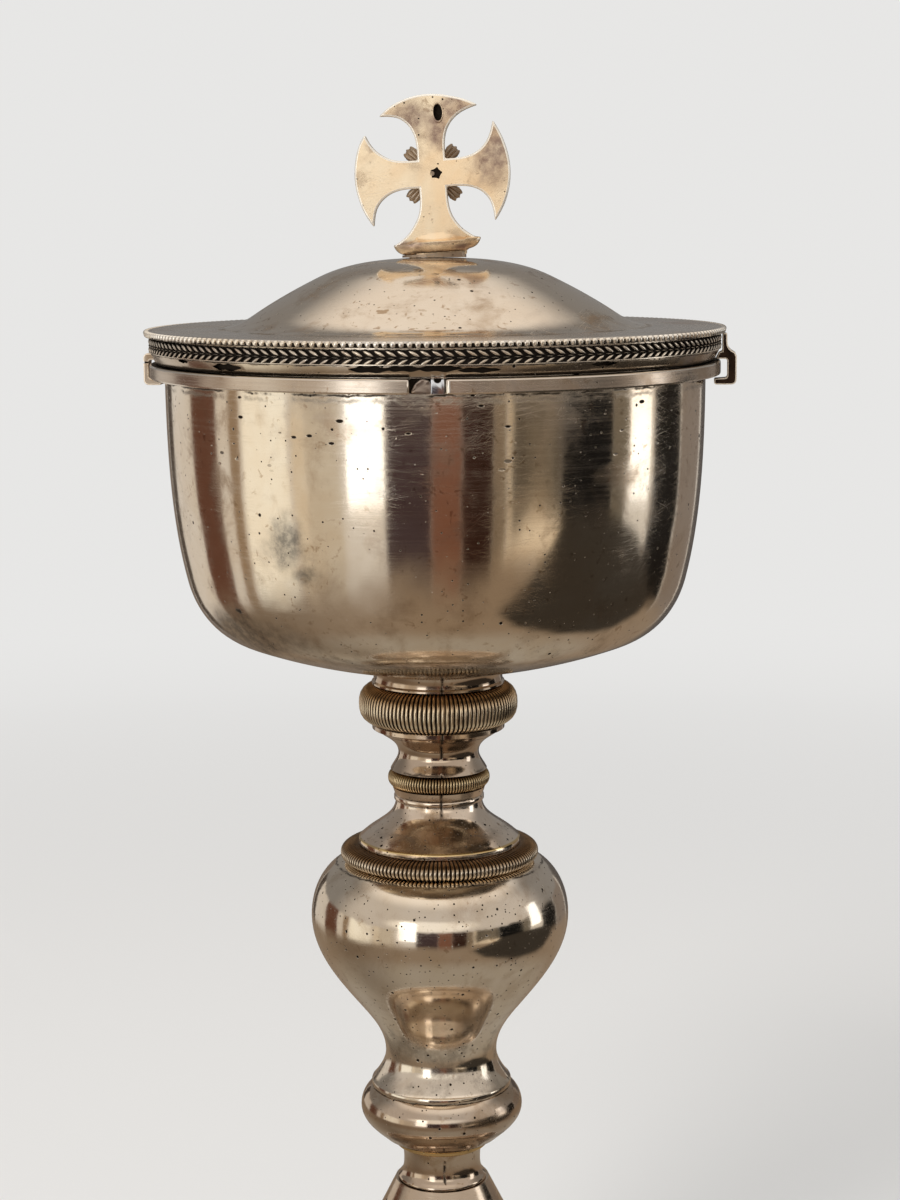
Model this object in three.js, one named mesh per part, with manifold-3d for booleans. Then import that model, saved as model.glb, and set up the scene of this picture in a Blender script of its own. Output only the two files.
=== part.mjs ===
import * as THREE from 'three';
import { mergeVertices } from 'three/addons/utils/BufferGeometryUtils.js';
import Module from 'manifold-3d';

const wasm = await Module();
wasm.setup();

// A covered cup on a tall stem, in millimetres. The origin is the middle of the
// circle on which the foot stands, +Z is up, and the plain back of the cross faces -Y.

// Fits between pieces
const solderGap = 0.15; // round a piece that is soldered on or slipped over another
const runningGap = 0.3; // above and below what turns
const boltPlay = 0.4; // round the rod, the stud and the rivet

// Foot
const footRadius = 60;
const footRingHeight = 5;
const footRingWidth = 5;
const footRingRoll = 1.8;
const footInset = 2.8; // from the ring's outside to the border's outside
const footBorderWidth = 5.6;
const footBorderRise = 2.2;
const footStepRise = 1;
const footCushionWidth = 12;
const footCushionRise = 11.5;
const footTrumpetRise = 34.3;
const footTrumpetSlope = 20; // where it leaves the cushion, in degrees
const footTopRadius = 10.9;
const footWall = 1.2;

// Ring under the lower knob
const neckHeight = 8.6;
const neckFlareRadius = 10.3;
const neckFlareHeight = 0.8;
const neckWaistRadius = 8.9;
const neckWaistHeight = 4.8;
const neckTopRadius = 9.4;

// Lower knob
const knobHeight = 14.4;
const knobFootRadius = 10.7;
const knobFootHeight = 1;
const knobStepRadius = 13;
const knobStepHeight = 2.2;
const knobRadius = 18.75;
const knobBellyHeight = 9.5;
const knobTopRadius = 16;
const knobFloor = 1.5;
const knobHollowRadius = 14.2;

// Knop
const knopHeight = 53.6;
const knopLipRadius = 16.2;
const knopLipHeight = 1.45;
const knopLipRound = 0.3;
const knopSeatRadius = 14.6;
const knopWaistRadius = 12.85;
const knopWaistHeight = 8.2;
const knopSwellRadius = 20;
const knopSwellHeight = 21.7;
const knopRadius = 29.6;
const knopBellyHeight = 41;
const knopShoulderRadius = 23.2;
const knopTopHole = 13.5;
const knopWall = 1.3;

// Flared piece on the knop
const flareSpigotRadius = 18.1;
const flareLipRadius = 18.55;
const flareLipHeight = 1.4;
const flareRise = 8.7;
const flareNeckRadius = 9.9;
const flareBeadRadius = 10.3;
const flareBeadHeight = 1.2;
const flareCoveHeight = 1.8;
const flareSeatRadius = 10.6;
const flareHollowRadius = 14.4;
const flareFloor = 1.5;

// Waisted piece under the upper reeded ring
const waistHeight = 10.7;
const waistFootRadius = 11;
const waistRadius = 9.2;
const waistLevel = 3.9;
const waistLipRadius = 15.1;
const waistLipHeight = 1.3;
const waistSpigotRadius = 13.2;
const waistWall = 1.4;

// Reeded rings
const lowerRingRadius = 22.7;
const lowerRingHeight = 4.3;
const middleRingRadius = 11.65;
const middleRingHeight = 4.2;
const middleRingBore = 9.3;
const upperRingRadius = 18.1;
const upperRingHeight = 9.1;
const ribPitch = 2.5;
const ribDepth = 0.45;
const ribSpread = 0.9; // of the half round above and below its middle, in radians

// Collar and boss under the bowl
const collarHeight = 4;
const collarFootRadius = 15;
const collarTopRadius = 15.6;
const collarBore = 9;
const bossRadius = 7;
const bossHeight = 9;

// Bowl
const bowlRadius = 59.95;
const bowlWall = 1.2;
const bowlSeatRadius = 15.9;
const bowlTurnInset = 14.8;
const bowlTurnHeight = 7.4;
const bowlHeelInset = 4;
const bowlHeelHeight = 20.7;
const bowlTaperHeight = 60;
const bowlToBandTop = 69;
const lipAboveBand = 6.2;

// Rod that ties the stem together
const rodRadius = 3;
const rodInBoss = 7.5;
const rodTail = 3;
const washerRadius = 8;
const washerThickness = 1.5;
const nutAcross = 10;
const nutHeight = 5;

// Two part band of the turning lock, and its gaps
const bandWidth = 3.2;
const bandHeight = 3;
const bandChamfer = 0.4;
const gapAngle = -91.49; // middle of the front gap
const gapWidth = 7.1;
const lugWidth = 2.7;
const lugInset = 0.5; // from the band's outside to the lug's outside
const lugNotchRadius = 0.75;

// Cover
const skirtPlay = 0.85; // between the bowl's lip and the skirt
const skirtWall = 1.15;
const skirtFlangeRise = 2.35;
const skirtFlangeWidth = 1;
const leafBandWall = 1.35;
const leafBandHeight = 3.1;
const coverWall = 1;
const coverEdgeInset = 0.45; // from the leaf band's outside to the plate's edge
const beadRadius = 0.68;
const domeFootRadius = 49;
const domeTurnRadius = 40.5;
const domeTurnRise = 2.7;
const domeCrownRadius = 25.7;
const domeCrownRise = 11.1;
const domeRise = 15.2;
const bezelPlay = 0.65;
const bezelWall = 1;
const bezelHeight = 7;

// Hooks of the lock
const hookAngle = -6; // of the right hook; the left one is opposite
const hookWidth = 3.6;
const hookOutside = 3.5; // from the band's outside to the hook's outside
const hookSide = 2.1;
const plainHookOutside = 2.6;
const plainHookSide = 1.25;
const hookUnderGap = 0.85;
const hookLip = 1.5;
const hookReach = 1.45; // of the lip under the band
const hookShelf = 1.5;
const hookStrap = 1.05;
const hookRound = 1.1;
const hookBevel = 0.2;

// Cross
const crossRadius = 17.2;
const crossThickness = 2.3;
const crossBevel = 0.35;
const crossBarHalf = 3.05;
const crossArmSpread = 38.4; // half the angle of an arm's end, in degrees
const crossArmStraight = 4.6;
const crossLean = -3.3;
const crossTurn = -4;
const crossFootRadius = 9.4;
const crossFootSeatRadius = 6.8;
const crossFootRise = 2;
const crossFootHeight = 4.6;
const crossFootDepth = 0.3; // depth of the foot as a share of its width
const slotHeight = 4.2;
const slotWidth = 2;
const slotDepth = 1.5;
const slotLevel = 13.4;
const starRadius = 1.15;
const starHollow = 0.7;
const starPoints = 5;
const rosetteRadius = 7.9;
const rosetteThickness = 1.3;
const rosettePetals = 8;
const petalDepth = 1.6;
const petalRidge = 0.35;
const rivetRadius = 0.5;
const rivetHead = 1.3;
const crossCollarRadius = 7.1;
const crossCollarDepth = 0.5; // depth of the collar as a share of its width
const crossCollarHeight = 0.9;
const studRadius = 1.4;
const studLength = 7;
const studWasherRadius = 4;
const studWasherThickness = 0.8;
const studNutAcross = 5.5;
const studNutHeight = 2.4;

// Facets round the axis
const wideFacets = 36;
const knopFacets = 24;
const stemFacets = 18;
const smallFacets = 12;

const { degToRad } = THREE.MathUtils;
const at = (r, z) => new THREE.Vector2(r, z);

// A station of an outline: a point, the direction of travel there in degrees
// (0 outward, 90 up, 180 inward), and the facets on the way to it.
const station = (r, z, heading, facets = 3) => ({ point: at(r, z), heading, facets });

function ahead({ point, heading }, distance) {
  const angle = degToRad(heading);
  return at(point.x + distance * Math.cos(angle), point.y + distance * Math.sin(angle));
}

// Round stretches that pass through the stations in their directions.
function roundOutline(stations, coarseness = 1) {
  const points = [stations[0].point];
  for (let i = 1; i < stations.length; i += 1) {
    const from = stations[i - 1];
    const to = stations[i];
    const turn = degToRad(to.heading - from.heading);
    const pull = from.point.distanceTo(to.point) / (3 * Math.cos(turn / 4) ** 2);
    const curve = new THREE.CubicBezierCurve(from.point, ahead(from, pull), ahead(to, -pull), to.point);
    const facets = Math.max(1, Math.round(to.facets / coarseness));
    points.push(...curve.getPoints(facets).slice(1));
  }
  return points;
}

const insetStations = (stations, wall) => stations.map((item) => ({
  ...item,
  point: ahead({ point: item.point, heading: item.heading + 90 }, wall),
}));

// An outline with its inner wall, as one closed loop.
function walledOutline(stations, wall, before = [], after = []) {
  const inner = roundOutline(insetStations(stations, wall), 2).reverse();
  return [...before, ...roundOutline(stations), ...after, ...inner];
}

// Turns an outline round Z. One that doesn't begin and end on the axis is closed on itself.
function revolve(outline, facets) {
  const onAxis = outline[0].x === 0 && outline[outline.length - 1].x === 0;
  const points = onAxis ? outline : [...outline, outline[0]];
  return new THREE.LatheGeometry(points, facets).rotateX(Math.PI / 2);
}

const ring = (bore, radius, height, facets) => revolve(
  [at(bore, 0), at(radius, 0), at(radius, height), at(bore, height)],
  facets,
);

const rod = (radius, length, facets = smallFacets) => revolve(
  [at(0, 0), at(radius, 0), at(radius, length), at(0, length)],
  facets,
);

// A half round ring with upright ribs: every second line of points is sunk between two ribs.
function reededRing(bore, radius, height) {
  const middle = height / 2;
  const bulge = new THREE.EllipseCurve(bore, middle, radius - bore, middle, -ribSpread, ribSpread);
  const outline = [at(bore, 0), ...bulge.getPoints(2), at(bore, height)];
  const ribs = Math.round((2 * Math.PI * radius) / ribPitch);
  const geometry = new THREE.LatheGeometry([...outline, outline[0]], 2 * ribs);
  const position = geometry.getAttribute('position');
  const perLine = outline.length + 1;
  for (let i = 0; i < position.count; i += 1) {
    const isSunk = Math.floor(i / perLine) % 2 === 1;
    const spread = Math.hypot(position.getX(i), position.getZ(i));
    if (isSunk && spread > bore + ribDepth) {
      const share = (spread - ribDepth) / spread;
      position.setX(i, position.getX(i) * share);
      position.setZ(i, position.getZ(i) * share);
    }
  }
  return geometry.rotateX(Math.PI / 2);
}

// Closed meshes and solids that can be joined and cut
function toSolid(geometry) {
  const bare = geometry.clone();
  bare.deleteAttribute('normal');
  bare.deleteAttribute('uv');
  const merged = mergeVertices(bare);
  return new wasm.Manifold(new wasm.Mesh({
    numProp: 3,
    vertProperties: new Float32Array(merged.getAttribute('position').array),
    triVerts: new Uint32Array(merged.getIndex().array),
  }));
}

function toGeometry(solid) {
  const mesh = solid.getMesh();
  const geometry = new THREE.BufferGeometry();
  geometry.setAttribute('position', new THREE.BufferAttribute(new Float32Array(mesh.vertProperties), 3));
  geometry.setIndex(new THREE.BufferAttribute(new Uint32Array(mesh.triVerts), 1));
  geometry.computeVertexNormals();
  return geometry;
}

function nut(across, height, bore) {
  const corner = across / 2 / Math.cos(Math.PI / 6);
  const block = new THREE.CylinderGeometry(corner, corner, height, 6).rotateX(Math.PI / 2);
  const hole = rod(bore, height * 2).translate(0, 0, -height);
  return toGeometry(toSolid(block).subtract(toSolid(hole))).translate(0, 0, height / 2);
}

const metal = (color, roughness) => () => new THREE.MeshStandardMaterial({ color, roughness, metalness: 1 });
const silver = metal(0xb9ad9a, 0.28);
const gilt = metal(0x9a7d4c, 0.35);
const paleGilt = metal(0xcdb897, 0.35);
const iron = metal(0x6e6963, 0.5);

function piece(name, geometry, material, level = 0) {
  const mesh = new THREE.Mesh(geometry, material());
  mesh.name = name;
  mesh.position.z = level;
  return mesh;
}

// Levels up the stem
const footTop = footRingHeight + footBorderRise + footStepRise + footCushionRise + footTrumpetRise;
const knobLevel = footTop + neckHeight;
const knopLevel = knobLevel + knobHeight;
const lowerRingLevel = knopLevel + knopHeight;
const middleRingLevel = lowerRingLevel + lowerRingHeight + flareLipHeight + flareRise
  + flareBeadHeight + flareCoveHeight;
const waistLevelInRow = middleRingLevel + middleRingHeight;
const upperRingLevel = waistLevelInRow + waistHeight;
const collarLevel = upperRingLevel + upperRingHeight;
const bowlLevel = collarLevel + collarHeight;
const bandTop = bowlLevel + bowlToBandTop;
const lipLevel = bandTop + lipAboveBand;

// Radii and levels of the cover that follow from the bowl
const bandRadius = bowlRadius + solderGap + bandWidth;
const skirtBore = bowlRadius + skirtPlay;
const skirtRadius = skirtBore + skirtWall;
const leafBandRadius = skirtRadius + solderGap + leafBandWall;
const coverEdgeRadius = leafBandRadius - coverEdgeInset;
const skirtLevel = bandTop + runningGap;
const plateUnder = lipLevel + runningGap;
const plateTop = plateUnder + coverWall;
const domeTop = plateTop + domeRise;

// Foot
function footRing() {
  const bore = footRadius - footRingWidth;
  return revolve([
    at(bore, 0),
    at(footRadius - footRingRoll / 2, 0),
    at(footRadius, footRingRoll / 2),
    at(footRadius, footRingRoll * 1.5),
    at(footRadius - footInset, footRingHeight),
    at(bore, footRingHeight),
  ], wideFacets);
}

// The border and the cushion of the foot, with a flat seat for the trumpet.
const footStepRadius = footRadius - footInset - footBorderWidth;
const trumpetSeatRadius = footStepRadius - footCushionWidth;
const trumpetFootRadius = trumpetSeatRadius - footStepRise;
const trumpetFootBore = trumpetFootRadius - footWall / Math.sin(degToRad(footTrumpetSlope));

function footCushion() {
  const borderRadius = footRadius - footInset;
  const stepHeight = footBorderRise + footStepRise;
  const top = stepHeight + footCushionRise;
  return revolve([
    at(borderRadius, 0),
    at(borderRadius, footWall),
    at(footStepRadius, footBorderRise),
    ...roundOutline([station(footStepRadius, stepHeight, 95), station(trumpetSeatRadius, top, 172)]),
    at(trumpetFootBore, top),
    at(trumpetFootBore, top - footWall),
    ...roundOutline([
      station(trumpetSeatRadius, top - footWall, -8),
      station(footStepRadius - footWall, stepHeight, -85, 2),
    ]),
    at(footStepRadius - footWall, footBorderRise - footWall),
    at(borderRadius - footWall, 0),
  ], wideFacets);
}

function footShell() {
  const hole = rodRadius + boltPlay;
  return revolve([
    ...roundOutline([
      station(trumpetFootRadius, 0, 180 - footTrumpetSlope),
      station(footTopRadius, footTrumpetRise, 117, 4),
    ]),
    at(hole, footTrumpetRise),
    at(hole, footTrumpetRise - footWall),
    ...roundOutline([
      station(footTopRadius - footWall * 0.6, footTrumpetRise - footWall, -63),
      station(trumpetFootBore, 0, -footTrumpetSlope),
    ]),
  ], wideFacets);
}

// Stem
function neckRing() {
  return revolve([
    at(rodRadius + boltPlay, 0),
    at(neckFlareRadius, 0),
    ...roundOutline([
      station(neckFlareRadius, neckFlareHeight, 140),
      station(neckWaistRadius, neckWaistHeight, 90, 3),
      station(neckTopRadius, neckHeight, 75, 1),
    ]),
    at(rodRadius + boltPlay, neckHeight),
  ], stemFacets);
}

function lowerKnob() {
  const bore = rodRadius + boltPlay;
  return revolve([
    at(bore, 0),
    at(knobFootRadius, 0),
    at(knobFootRadius, knobFootHeight),
    at(knobStepRadius, knobStepHeight),
    ...roundOutline([
      station(knobStepRadius + knobFootHeight / 2, knobStepHeight, 42),
      station(knobRadius, knobBellyHeight, 90, 3),
      station(knobTopRadius, knobHeight, 145, 3),
    ]),
    at(knobHollowRadius, knobHeight),
    at(knobHollowRadius, knobBellyHeight),
    at(knobFootRadius, knobStepHeight + knobFloor),
    at(bore, knobFloor),
  ], stemFacets);
}

// The knop is raised in two halves, which meet at its widest level.
function knopLower() {
  const stations = [
    station(knopLipRadius - knopLipRound, knopLipHeight, 127),
    station(knopWaistRadius, knopWaistHeight, 90, 3),
    station(knopSwellRadius, knopSwellHeight, 51, 3),
    station(knopRadius, knopBellyHeight, 90, 3),
  ];
  return revolve(walledOutline(stations, knopWall, [
    at(knopSeatRadius, 0),
    at(knopLipRadius - knopLipRound, 0),
    at(knopLipRadius, knopLipRound),
    at(knopLipRadius, knopLipHeight - knopLipRound),
  ]), knopFacets);
}

function knopUpper() {
  const stations = [
    station(knopRadius, knopBellyHeight, 90),
    station(knopShoulderRadius, knopHeight, 150),
  ];
  return revolve(walledOutline(stations, knopWall, [], [
    at(knopTopHole, knopHeight),
    at(knopTopHole, knopHeight - knopWall),
  ]), knopFacets);
}

function flare() {
  const lipTop = lowerRingHeight + flareLipHeight;
  const neck = lipTop + flareRise;
  const seat = neck + flareBeadHeight + flareCoveHeight;
  const top = seat + middleRingHeight;
  const bore = rodRadius + boltPlay;
  return revolve([
    at(flareHollowRadius, 0),
    at(flareSpigotRadius, 0),
    at(flareSpigotRadius, lowerRingHeight),
    at(flareLipRadius, lowerRingHeight),
    ...roundOutline([station(flareLipRadius, lipTop, 135), station(flareNeckRadius, neck, 92, 5)]),
    at(flareBeadRadius, neck),
    at(flareBeadRadius, neck + flareBeadHeight),
    at(flareSeatRadius, seat),
    at(middleRingBore - solderGap, seat),
    at(middleRingBore - solderGap, top),
    at(bore, top),
    at(bore, neck + flareFloor),
    at(flareHollowRadius, lowerRingHeight),
  ], stemFacets);
}

function waistedPiece() {
  const lipUnder = waistHeight - waistLipHeight;
  const top = waistHeight + upperRingHeight;
  const spigotBore = waistSpigotRadius - waistWall * 2;
  const bore = rodRadius + boltPlay;
  return revolve([
    at(bore, 0),
    ...roundOutline([
      station(waistFootRadius, 0, 115),
      station(waistRadius, waistLevel, 90, 2),
      station(waistLipRadius - waistLipHeight / 2, lipUnder, 38, 4),
    ]),
    at(waistLipRadius, lipUnder),
    at(waistLipRadius, waistHeight),
    at(waistSpigotRadius, waistHeight),
    at(waistSpigotRadius, top),
    at(spigotBore, top),
    at(spigotBore, waistHeight),
    at(bore, waistLevel + waistWall),
  ], stemFacets);
}

function bowlCollar() {
  return revolve([
    at(collarBore, 0),
    at(collarFootRadius, 0),
    ...roundOutline([
      station(collarFootRadius, collarHeight / 4, 90),
      station(collarTopRadius, collarHeight, 60, 2),
    ]),
    at(collarBore, collarHeight),
  ], stemFacets);
}

// Bowl
function bowl() {
  const height = bowlToBandTop + lipAboveBand;
  const stations = [
    station(bowlSeatRadius, 0, 8),
    station(bowlRadius - bowlTurnInset, bowlTurnHeight, 21, 3),
    station(bowlRadius - bowlHeelInset, bowlHeelHeight, 76, 4),
    station(bowlRadius, bowlTaperHeight, 89, 2),
    station(bowlRadius, height, 90, 1),
  ];
  return revolve([at(0, 0), ...walledOutline(stations, bowlWall), at(0, bowlWall)], wideFacets);
}

// Turning lock on the bowl
const bandUnder = bandTop - bandHeight;

function fullBand() {
  const bore = bowlRadius + solderGap;
  return toSolid(revolve([
    at(bore, 0),
    at(bandRadius - bandChamfer, 0),
    at(bandRadius, bandChamfer),
    at(bandRadius, bandHeight - bandChamfer),
    at(bandRadius - bandChamfer, bandHeight),
    at(bore, bandHeight),
  ], wideFacets));
}

// A block that lies across the band at an angle, from the axis outwards.
function bandBlock(angle, width) {
  const reach = bandRadius * 2;
  return toSolid(new THREE.BoxGeometry(reach, width, bandHeight * 3)
    .translate(reach / 2, 0, bandHeight / 2)
    .rotateZ(degToRad(angle)));
}

function halfBand(side) {
  const reach = bandRadius * 2;
  const half = toSolid(new THREE.BoxGeometry(reach, reach * 2, bandHeight * 3)
    .translate(side * reach / 2, 0, bandHeight / 2)
    .rotateZ(degToRad(gapAngle + 90)));
  const cut = fullBand().intersect(half)
    .subtract(bandBlock(gapAngle, gapWidth))
    .subtract(bandBlock(gapAngle + 180, gapWidth));
  return toGeometry(cut);
}

// A soldered lug that fills one side of a gap, with a round notch in its upper edge.
function gapLug() {
  const start = bowlRadius + solderGap;
  const length = bandWidth - lugInset;
  const block = new THREE.BoxGeometry(length, lugWidth, bandHeight)
    .translate(start + length / 2, gapWidth / 2 - lugWidth / 2 - solderGap, bandHeight / 2);
  const notch = new THREE.CylinderGeometry(lugNotchRadius, lugNotchRadius, length, smallFacets)
    .rotateZ(Math.PI / 2)
    .translate(start + length, gapWidth / 2 - lugWidth / 2 - solderGap, bandHeight);
  return toGeometry(toSolid(block).subtract(toSolid(notch)));
}

// Cover
function coverShell() {
  const hole = studRadius + boltPlay;
  const stations = [
    station(domeFootRadius, coverWall, 180),
    station(domeTurnRadius, coverWall + domeTurnRise, 146, 3),
    station(domeCrownRadius, coverWall + domeCrownRise, 154, 2),
    station(hole, coverWall + domeRise, 179, 3),
  ];
  const edge = [at(coverEdgeRadius, 0), at(coverEdgeRadius, coverWall)];
  return revolve(walledOutline(stations, coverWall, edge), wideFacets);
}

function beadRing() {
  const middle = coverEdgeRadius + solderGap + beadRadius;
  const section = new THREE.Path().absarc(middle, 0, beadRadius, Math.PI, Math.PI * 3, false);
  return revolve(section.getPoints(3).slice(0, -1), wideFacets);
}

function leafBand() {
  return ring(skirtRadius + solderGap, leafBandRadius, leafBandHeight, wideFacets);
}

function skirt() {
  const top = plateUnder - skirtLevel;
  return revolve([
    at(skirtBore, 0),
    at(skirtRadius, 0),
    at(skirtRadius + skirtFlangeWidth, skirtFlangeRise),
    at(skirtRadius, skirtFlangeRise),
    at(skirtRadius, top),
    at(skirtBore, top),
  ], wideFacets);
}

function bezel() {
  const radius = bowlRadius - bowlWall - bezelPlay;
  return ring(radius - bezelWall, radius, bezelHeight, wideFacets);
}

// A hook seen along the rim: a shelf on the skirt, a side outside the band and a lip
// under it. The strapped one reaches up over the leaf band to the beads.
function hook(isStrapped) {
  const outside = bandRadius + (isStrapped ? hookOutside : plainHookOutside);
  const inside = outside - (isStrapped ? hookSide : plainHookSide);
  const shelfUnder = bandTop + runningGap;
  const shelfTop = shelfUnder + hookShelf;
  const lipTop = bandUnder - hookUnderGap;
  const lipUnder = lipTop - hookLip;
  const skirtAt = (z) => skirtRadius + solderGap
    + skirtFlangeWidth * Math.min(1, (z - skirtLevel) / skirtFlangeRise);
  const strapInside = leafBandRadius + solderGap;
  const strapTop = plateTop - 2 * beadRadius - solderGap;
  const shape = new THREE.Shape();
  shape.moveTo(bandRadius - hookReach, lipTop);
  shape.lineTo(bandRadius - hookReach, lipUnder + hookRound / 2);
  shape.lineTo(bandRadius - hookReach + hookRound / 2, lipUnder);
  shape.lineTo(outside - hookRound, lipUnder);
  shape.absarc(outside - hookRound, lipUnder + hookRound, hookRound, -Math.PI / 2, 0, false);
  if (isStrapped) {
    shape.lineTo(outside, shelfUnder);
    shape.lineTo(strapInside + hookStrap + hookRound / 2, shelfTop);
    shape.lineTo(strapInside + hookStrap, shelfTop + hookRound);
    shape.lineTo(strapInside + hookStrap, strapTop);
    shape.lineTo(strapInside, strapTop);
    shape.lineTo(strapInside, shelfTop);
  } else {
    shape.absarc(outside - hookRound, shelfTop - hookRound, hookRound, 0, Math.PI / 2, false);
  }
  shape.lineTo(skirtAt(shelfTop), shelfTop);
  shape.lineTo(skirtAt(shelfUnder), shelfUnder);
  shape.lineTo(inside, shelfUnder);
  shape.lineTo(inside, lipTop);
  shape.closePath();
  return new THREE.ExtrudeGeometry(shape, {
    depth: hookWidth - 2 * hookBevel,
    bevelThickness: hookBevel,
    bevelSize: hookBevel,
    bevelOffset: -hookBevel,
    bevelSegments: 1,
    curveSegments: 3,
  }).translate(0, 0, hookBevel - hookWidth / 2).rotateX(Math.PI / 2);
}

// Cross
function crossOutline() {
  const shape = new THREE.Shape();
  const tip = at(
    crossRadius * Math.cos(degToRad(crossArmSpread)),
    crossRadius * Math.sin(degToRad(crossArmSpread)),
  );
  const pull = tip.x - crossArmStraight;
  const origin = at(0, 0);
  for (let arm = 0; arm < 4; arm += 1) {
    const turn = arm * Math.PI / 2;
    const turned = (x, y) => at(x, y).rotateAround(origin, turn);
    const start = turned(crossBarHalf, -crossBarHalf);
    const bar = turned(crossArmStraight, -crossBarHalf);
    const end = turned(tip.x, -tip.y);
    const nearBar = turned(crossArmStraight + pull * 0.62, -crossBarHalf);
    const nearTip = turned(tip.x - pull * 0.08, -tip.y + (tip.y - crossBarHalf) * 0.72);
    if (arm === 0) {
      shape.moveTo(start.x, start.y);
    }
    shape.lineTo(bar.x, bar.y);
    shape.bezierCurveTo(nearBar.x, nearBar.y, nearTip.x, nearTip.y, end.x, end.y);
    shape.absarc(0, 0, crossRadius, turn - degToRad(crossArmSpread), turn + degToRad(crossArmSpread), false);
    const farTip = turned(tip.x - pull * 0.08, tip.y - (tip.y - crossBarHalf) * 0.72);
    const farBar = turned(crossArmStraight + pull * 0.62, crossBarHalf);
    const farEnd = turned(crossArmStraight, crossBarHalf);
    shape.bezierCurveTo(farTip.x, farTip.y, farBar.x, farBar.y, farEnd.x, farEnd.y);
    const corner = turned(crossBarHalf, crossBarHalf);
    shape.lineTo(corner.x, corner.y);
  }
  return shape;
}

// A flat outline in the plane of the cross, given a thickness on both sides of that plane.
function upright(shape, thickness, bevel, curveSegments) {
  return new THREE.ExtrudeGeometry(shape, {
    depth: thickness - 2 * bevel,
    bevelEnabled: bevel > 0,
    bevelThickness: bevel,
    bevelSize: bevel,
    bevelOffset: -bevel,
    bevelSegments: 1,
    curveSegments,
  }).translate(0, 0, bevel - thickness / 2).rotateX(Math.PI / 2);
}

function star(outer, inner, points) {
  const corners = [];
  for (let i = 0; i < 2 * points; i += 1) {
    const radius = i % 2 === 0 ? outer : inner;
    const angle = Math.PI / 2 + (i * Math.PI) / points;
    corners.push(at(radius * Math.cos(angle), radius * Math.sin(angle)));
  }
  return new THREE.Shape(corners);
}

function crossFoot() {
  const outline = [
    at(0, 0),
    ...roundOutline([
      station(crossFootSeatRadius, 0, 0),
      station(crossFootRadius, crossFootRise, 90, 3),
      station(crossBarHalf, crossFootHeight, 165, 3),
    ]),
    at(0, crossFootHeight),
  ];
  return revolve(outline, smallFacets).scale(1, crossFootDepth, 1).translate(0, 0, -crossRadius);
}

function cross() {
  const slot = new THREE.Shape().absellipse(0, slotLevel, slotWidth / 2, slotHeight / 2, 0, 2 * Math.PI);
  const slotSolid = upright(slot, slotDepth * 2, 0, 8).translate(0, -crossThickness / 2, 0);
  const starSolid = upright(star(starRadius, starHollow, starPoints), crossThickness * 2, 0, 1);
  const solid = toSolid(upright(crossOutline(), crossThickness, crossBevel, 3))
    .add(toSolid(crossFoot()))
    .subtract(toSolid(slotSolid))
    .subtract(toSolid(starSolid));
  return toGeometry(solid);
}

// Petals round a centre, each with a ridge, on the far side of the cross.
function rosette() {
  const lines = rosettePetals * 4;
  const rim = [];
  for (let i = 0; i < lines; i += 1) {
    const share = (i % 4) / 4;
    const scallop = Math.sin(Math.PI * share) ** 0.5;
    const angle = ((i - 2) / lines) * 2 * Math.PI;
    const radius = rosetteRadius - petalDepth * (1 - scallop);
    rim.push(at(radius * Math.cos(angle), radius * Math.sin(angle)));
  }
  const hole = new THREE.Path().absarc(0, 0, rivetRadius + solderGap, 0, 2 * Math.PI, true);
  const shape = new THREE.Shape(rim);
  shape.holes.push(hole);
  const middle = crossThickness / 2 + solderGap + rosetteThickness / 2;
  return upright(shape, rosetteThickness, petalRidge, 3).translate(0, middle, 0);
}

function rosetteRivet() {
  const length = crossThickness + solderGap + rosetteThickness + solderGap;
  return revolve([
    at(0, 0),
    at(rivetRadius, 0),
    at(rivetRadius, length),
    at(rivetHead, length),
    at(rivetHead * 0.7, length + rivetHead / 2),
    at(0, length + rivetHead * 0.6),
  ], smallFacets).rotateX(-Math.PI / 2).translate(0, -crossThickness / 2, 0);
}

// The leaning cross stands on a thin oval collar that is cut to the dome and to its lean.
const crossFootLevel = domeTop + crossCollarHeight;
const leaning = new THREE.Group();
leaning.position.z = crossFootLevel;
leaning.rotation.set(0, degToRad(crossLean), degToRad(crossTurn), 'ZYX');
leaning.updateMatrix();

function crossCollar() {
  const blank = rod(crossCollarRadius, crossCollarHeight * 3, smallFacets * 2)
    .scale(1, crossCollarDepth, 1)
    .translate(0, 0, domeTop - crossCollarHeight);
  const hole = rod(studRadius + boltPlay, crossCollarHeight * 4)
    .translate(0, 0, domeTop - crossCollarHeight * 1.5);
  const dome = revolve([
    at(0, plateTop),
    ...roundOutline([
      station(domeCrownRadius, plateTop + domeCrownRise + solderGap, 154),
      station(0, domeTop + solderGap, 180, 4),
    ]),
  ], wideFacets);
  const reach = crossCollarRadius * 4;
  const above = new THREE.BoxGeometry(reach, reach, reach)
    .translate(0, 0, reach / 2)
    .applyMatrix4(leaning.matrix);
  return toGeometry(toSolid(blank)
    .subtract(toSolid(hole))
    .subtract(toSolid(dome))
    .subtract(toSolid(above)));
}

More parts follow.
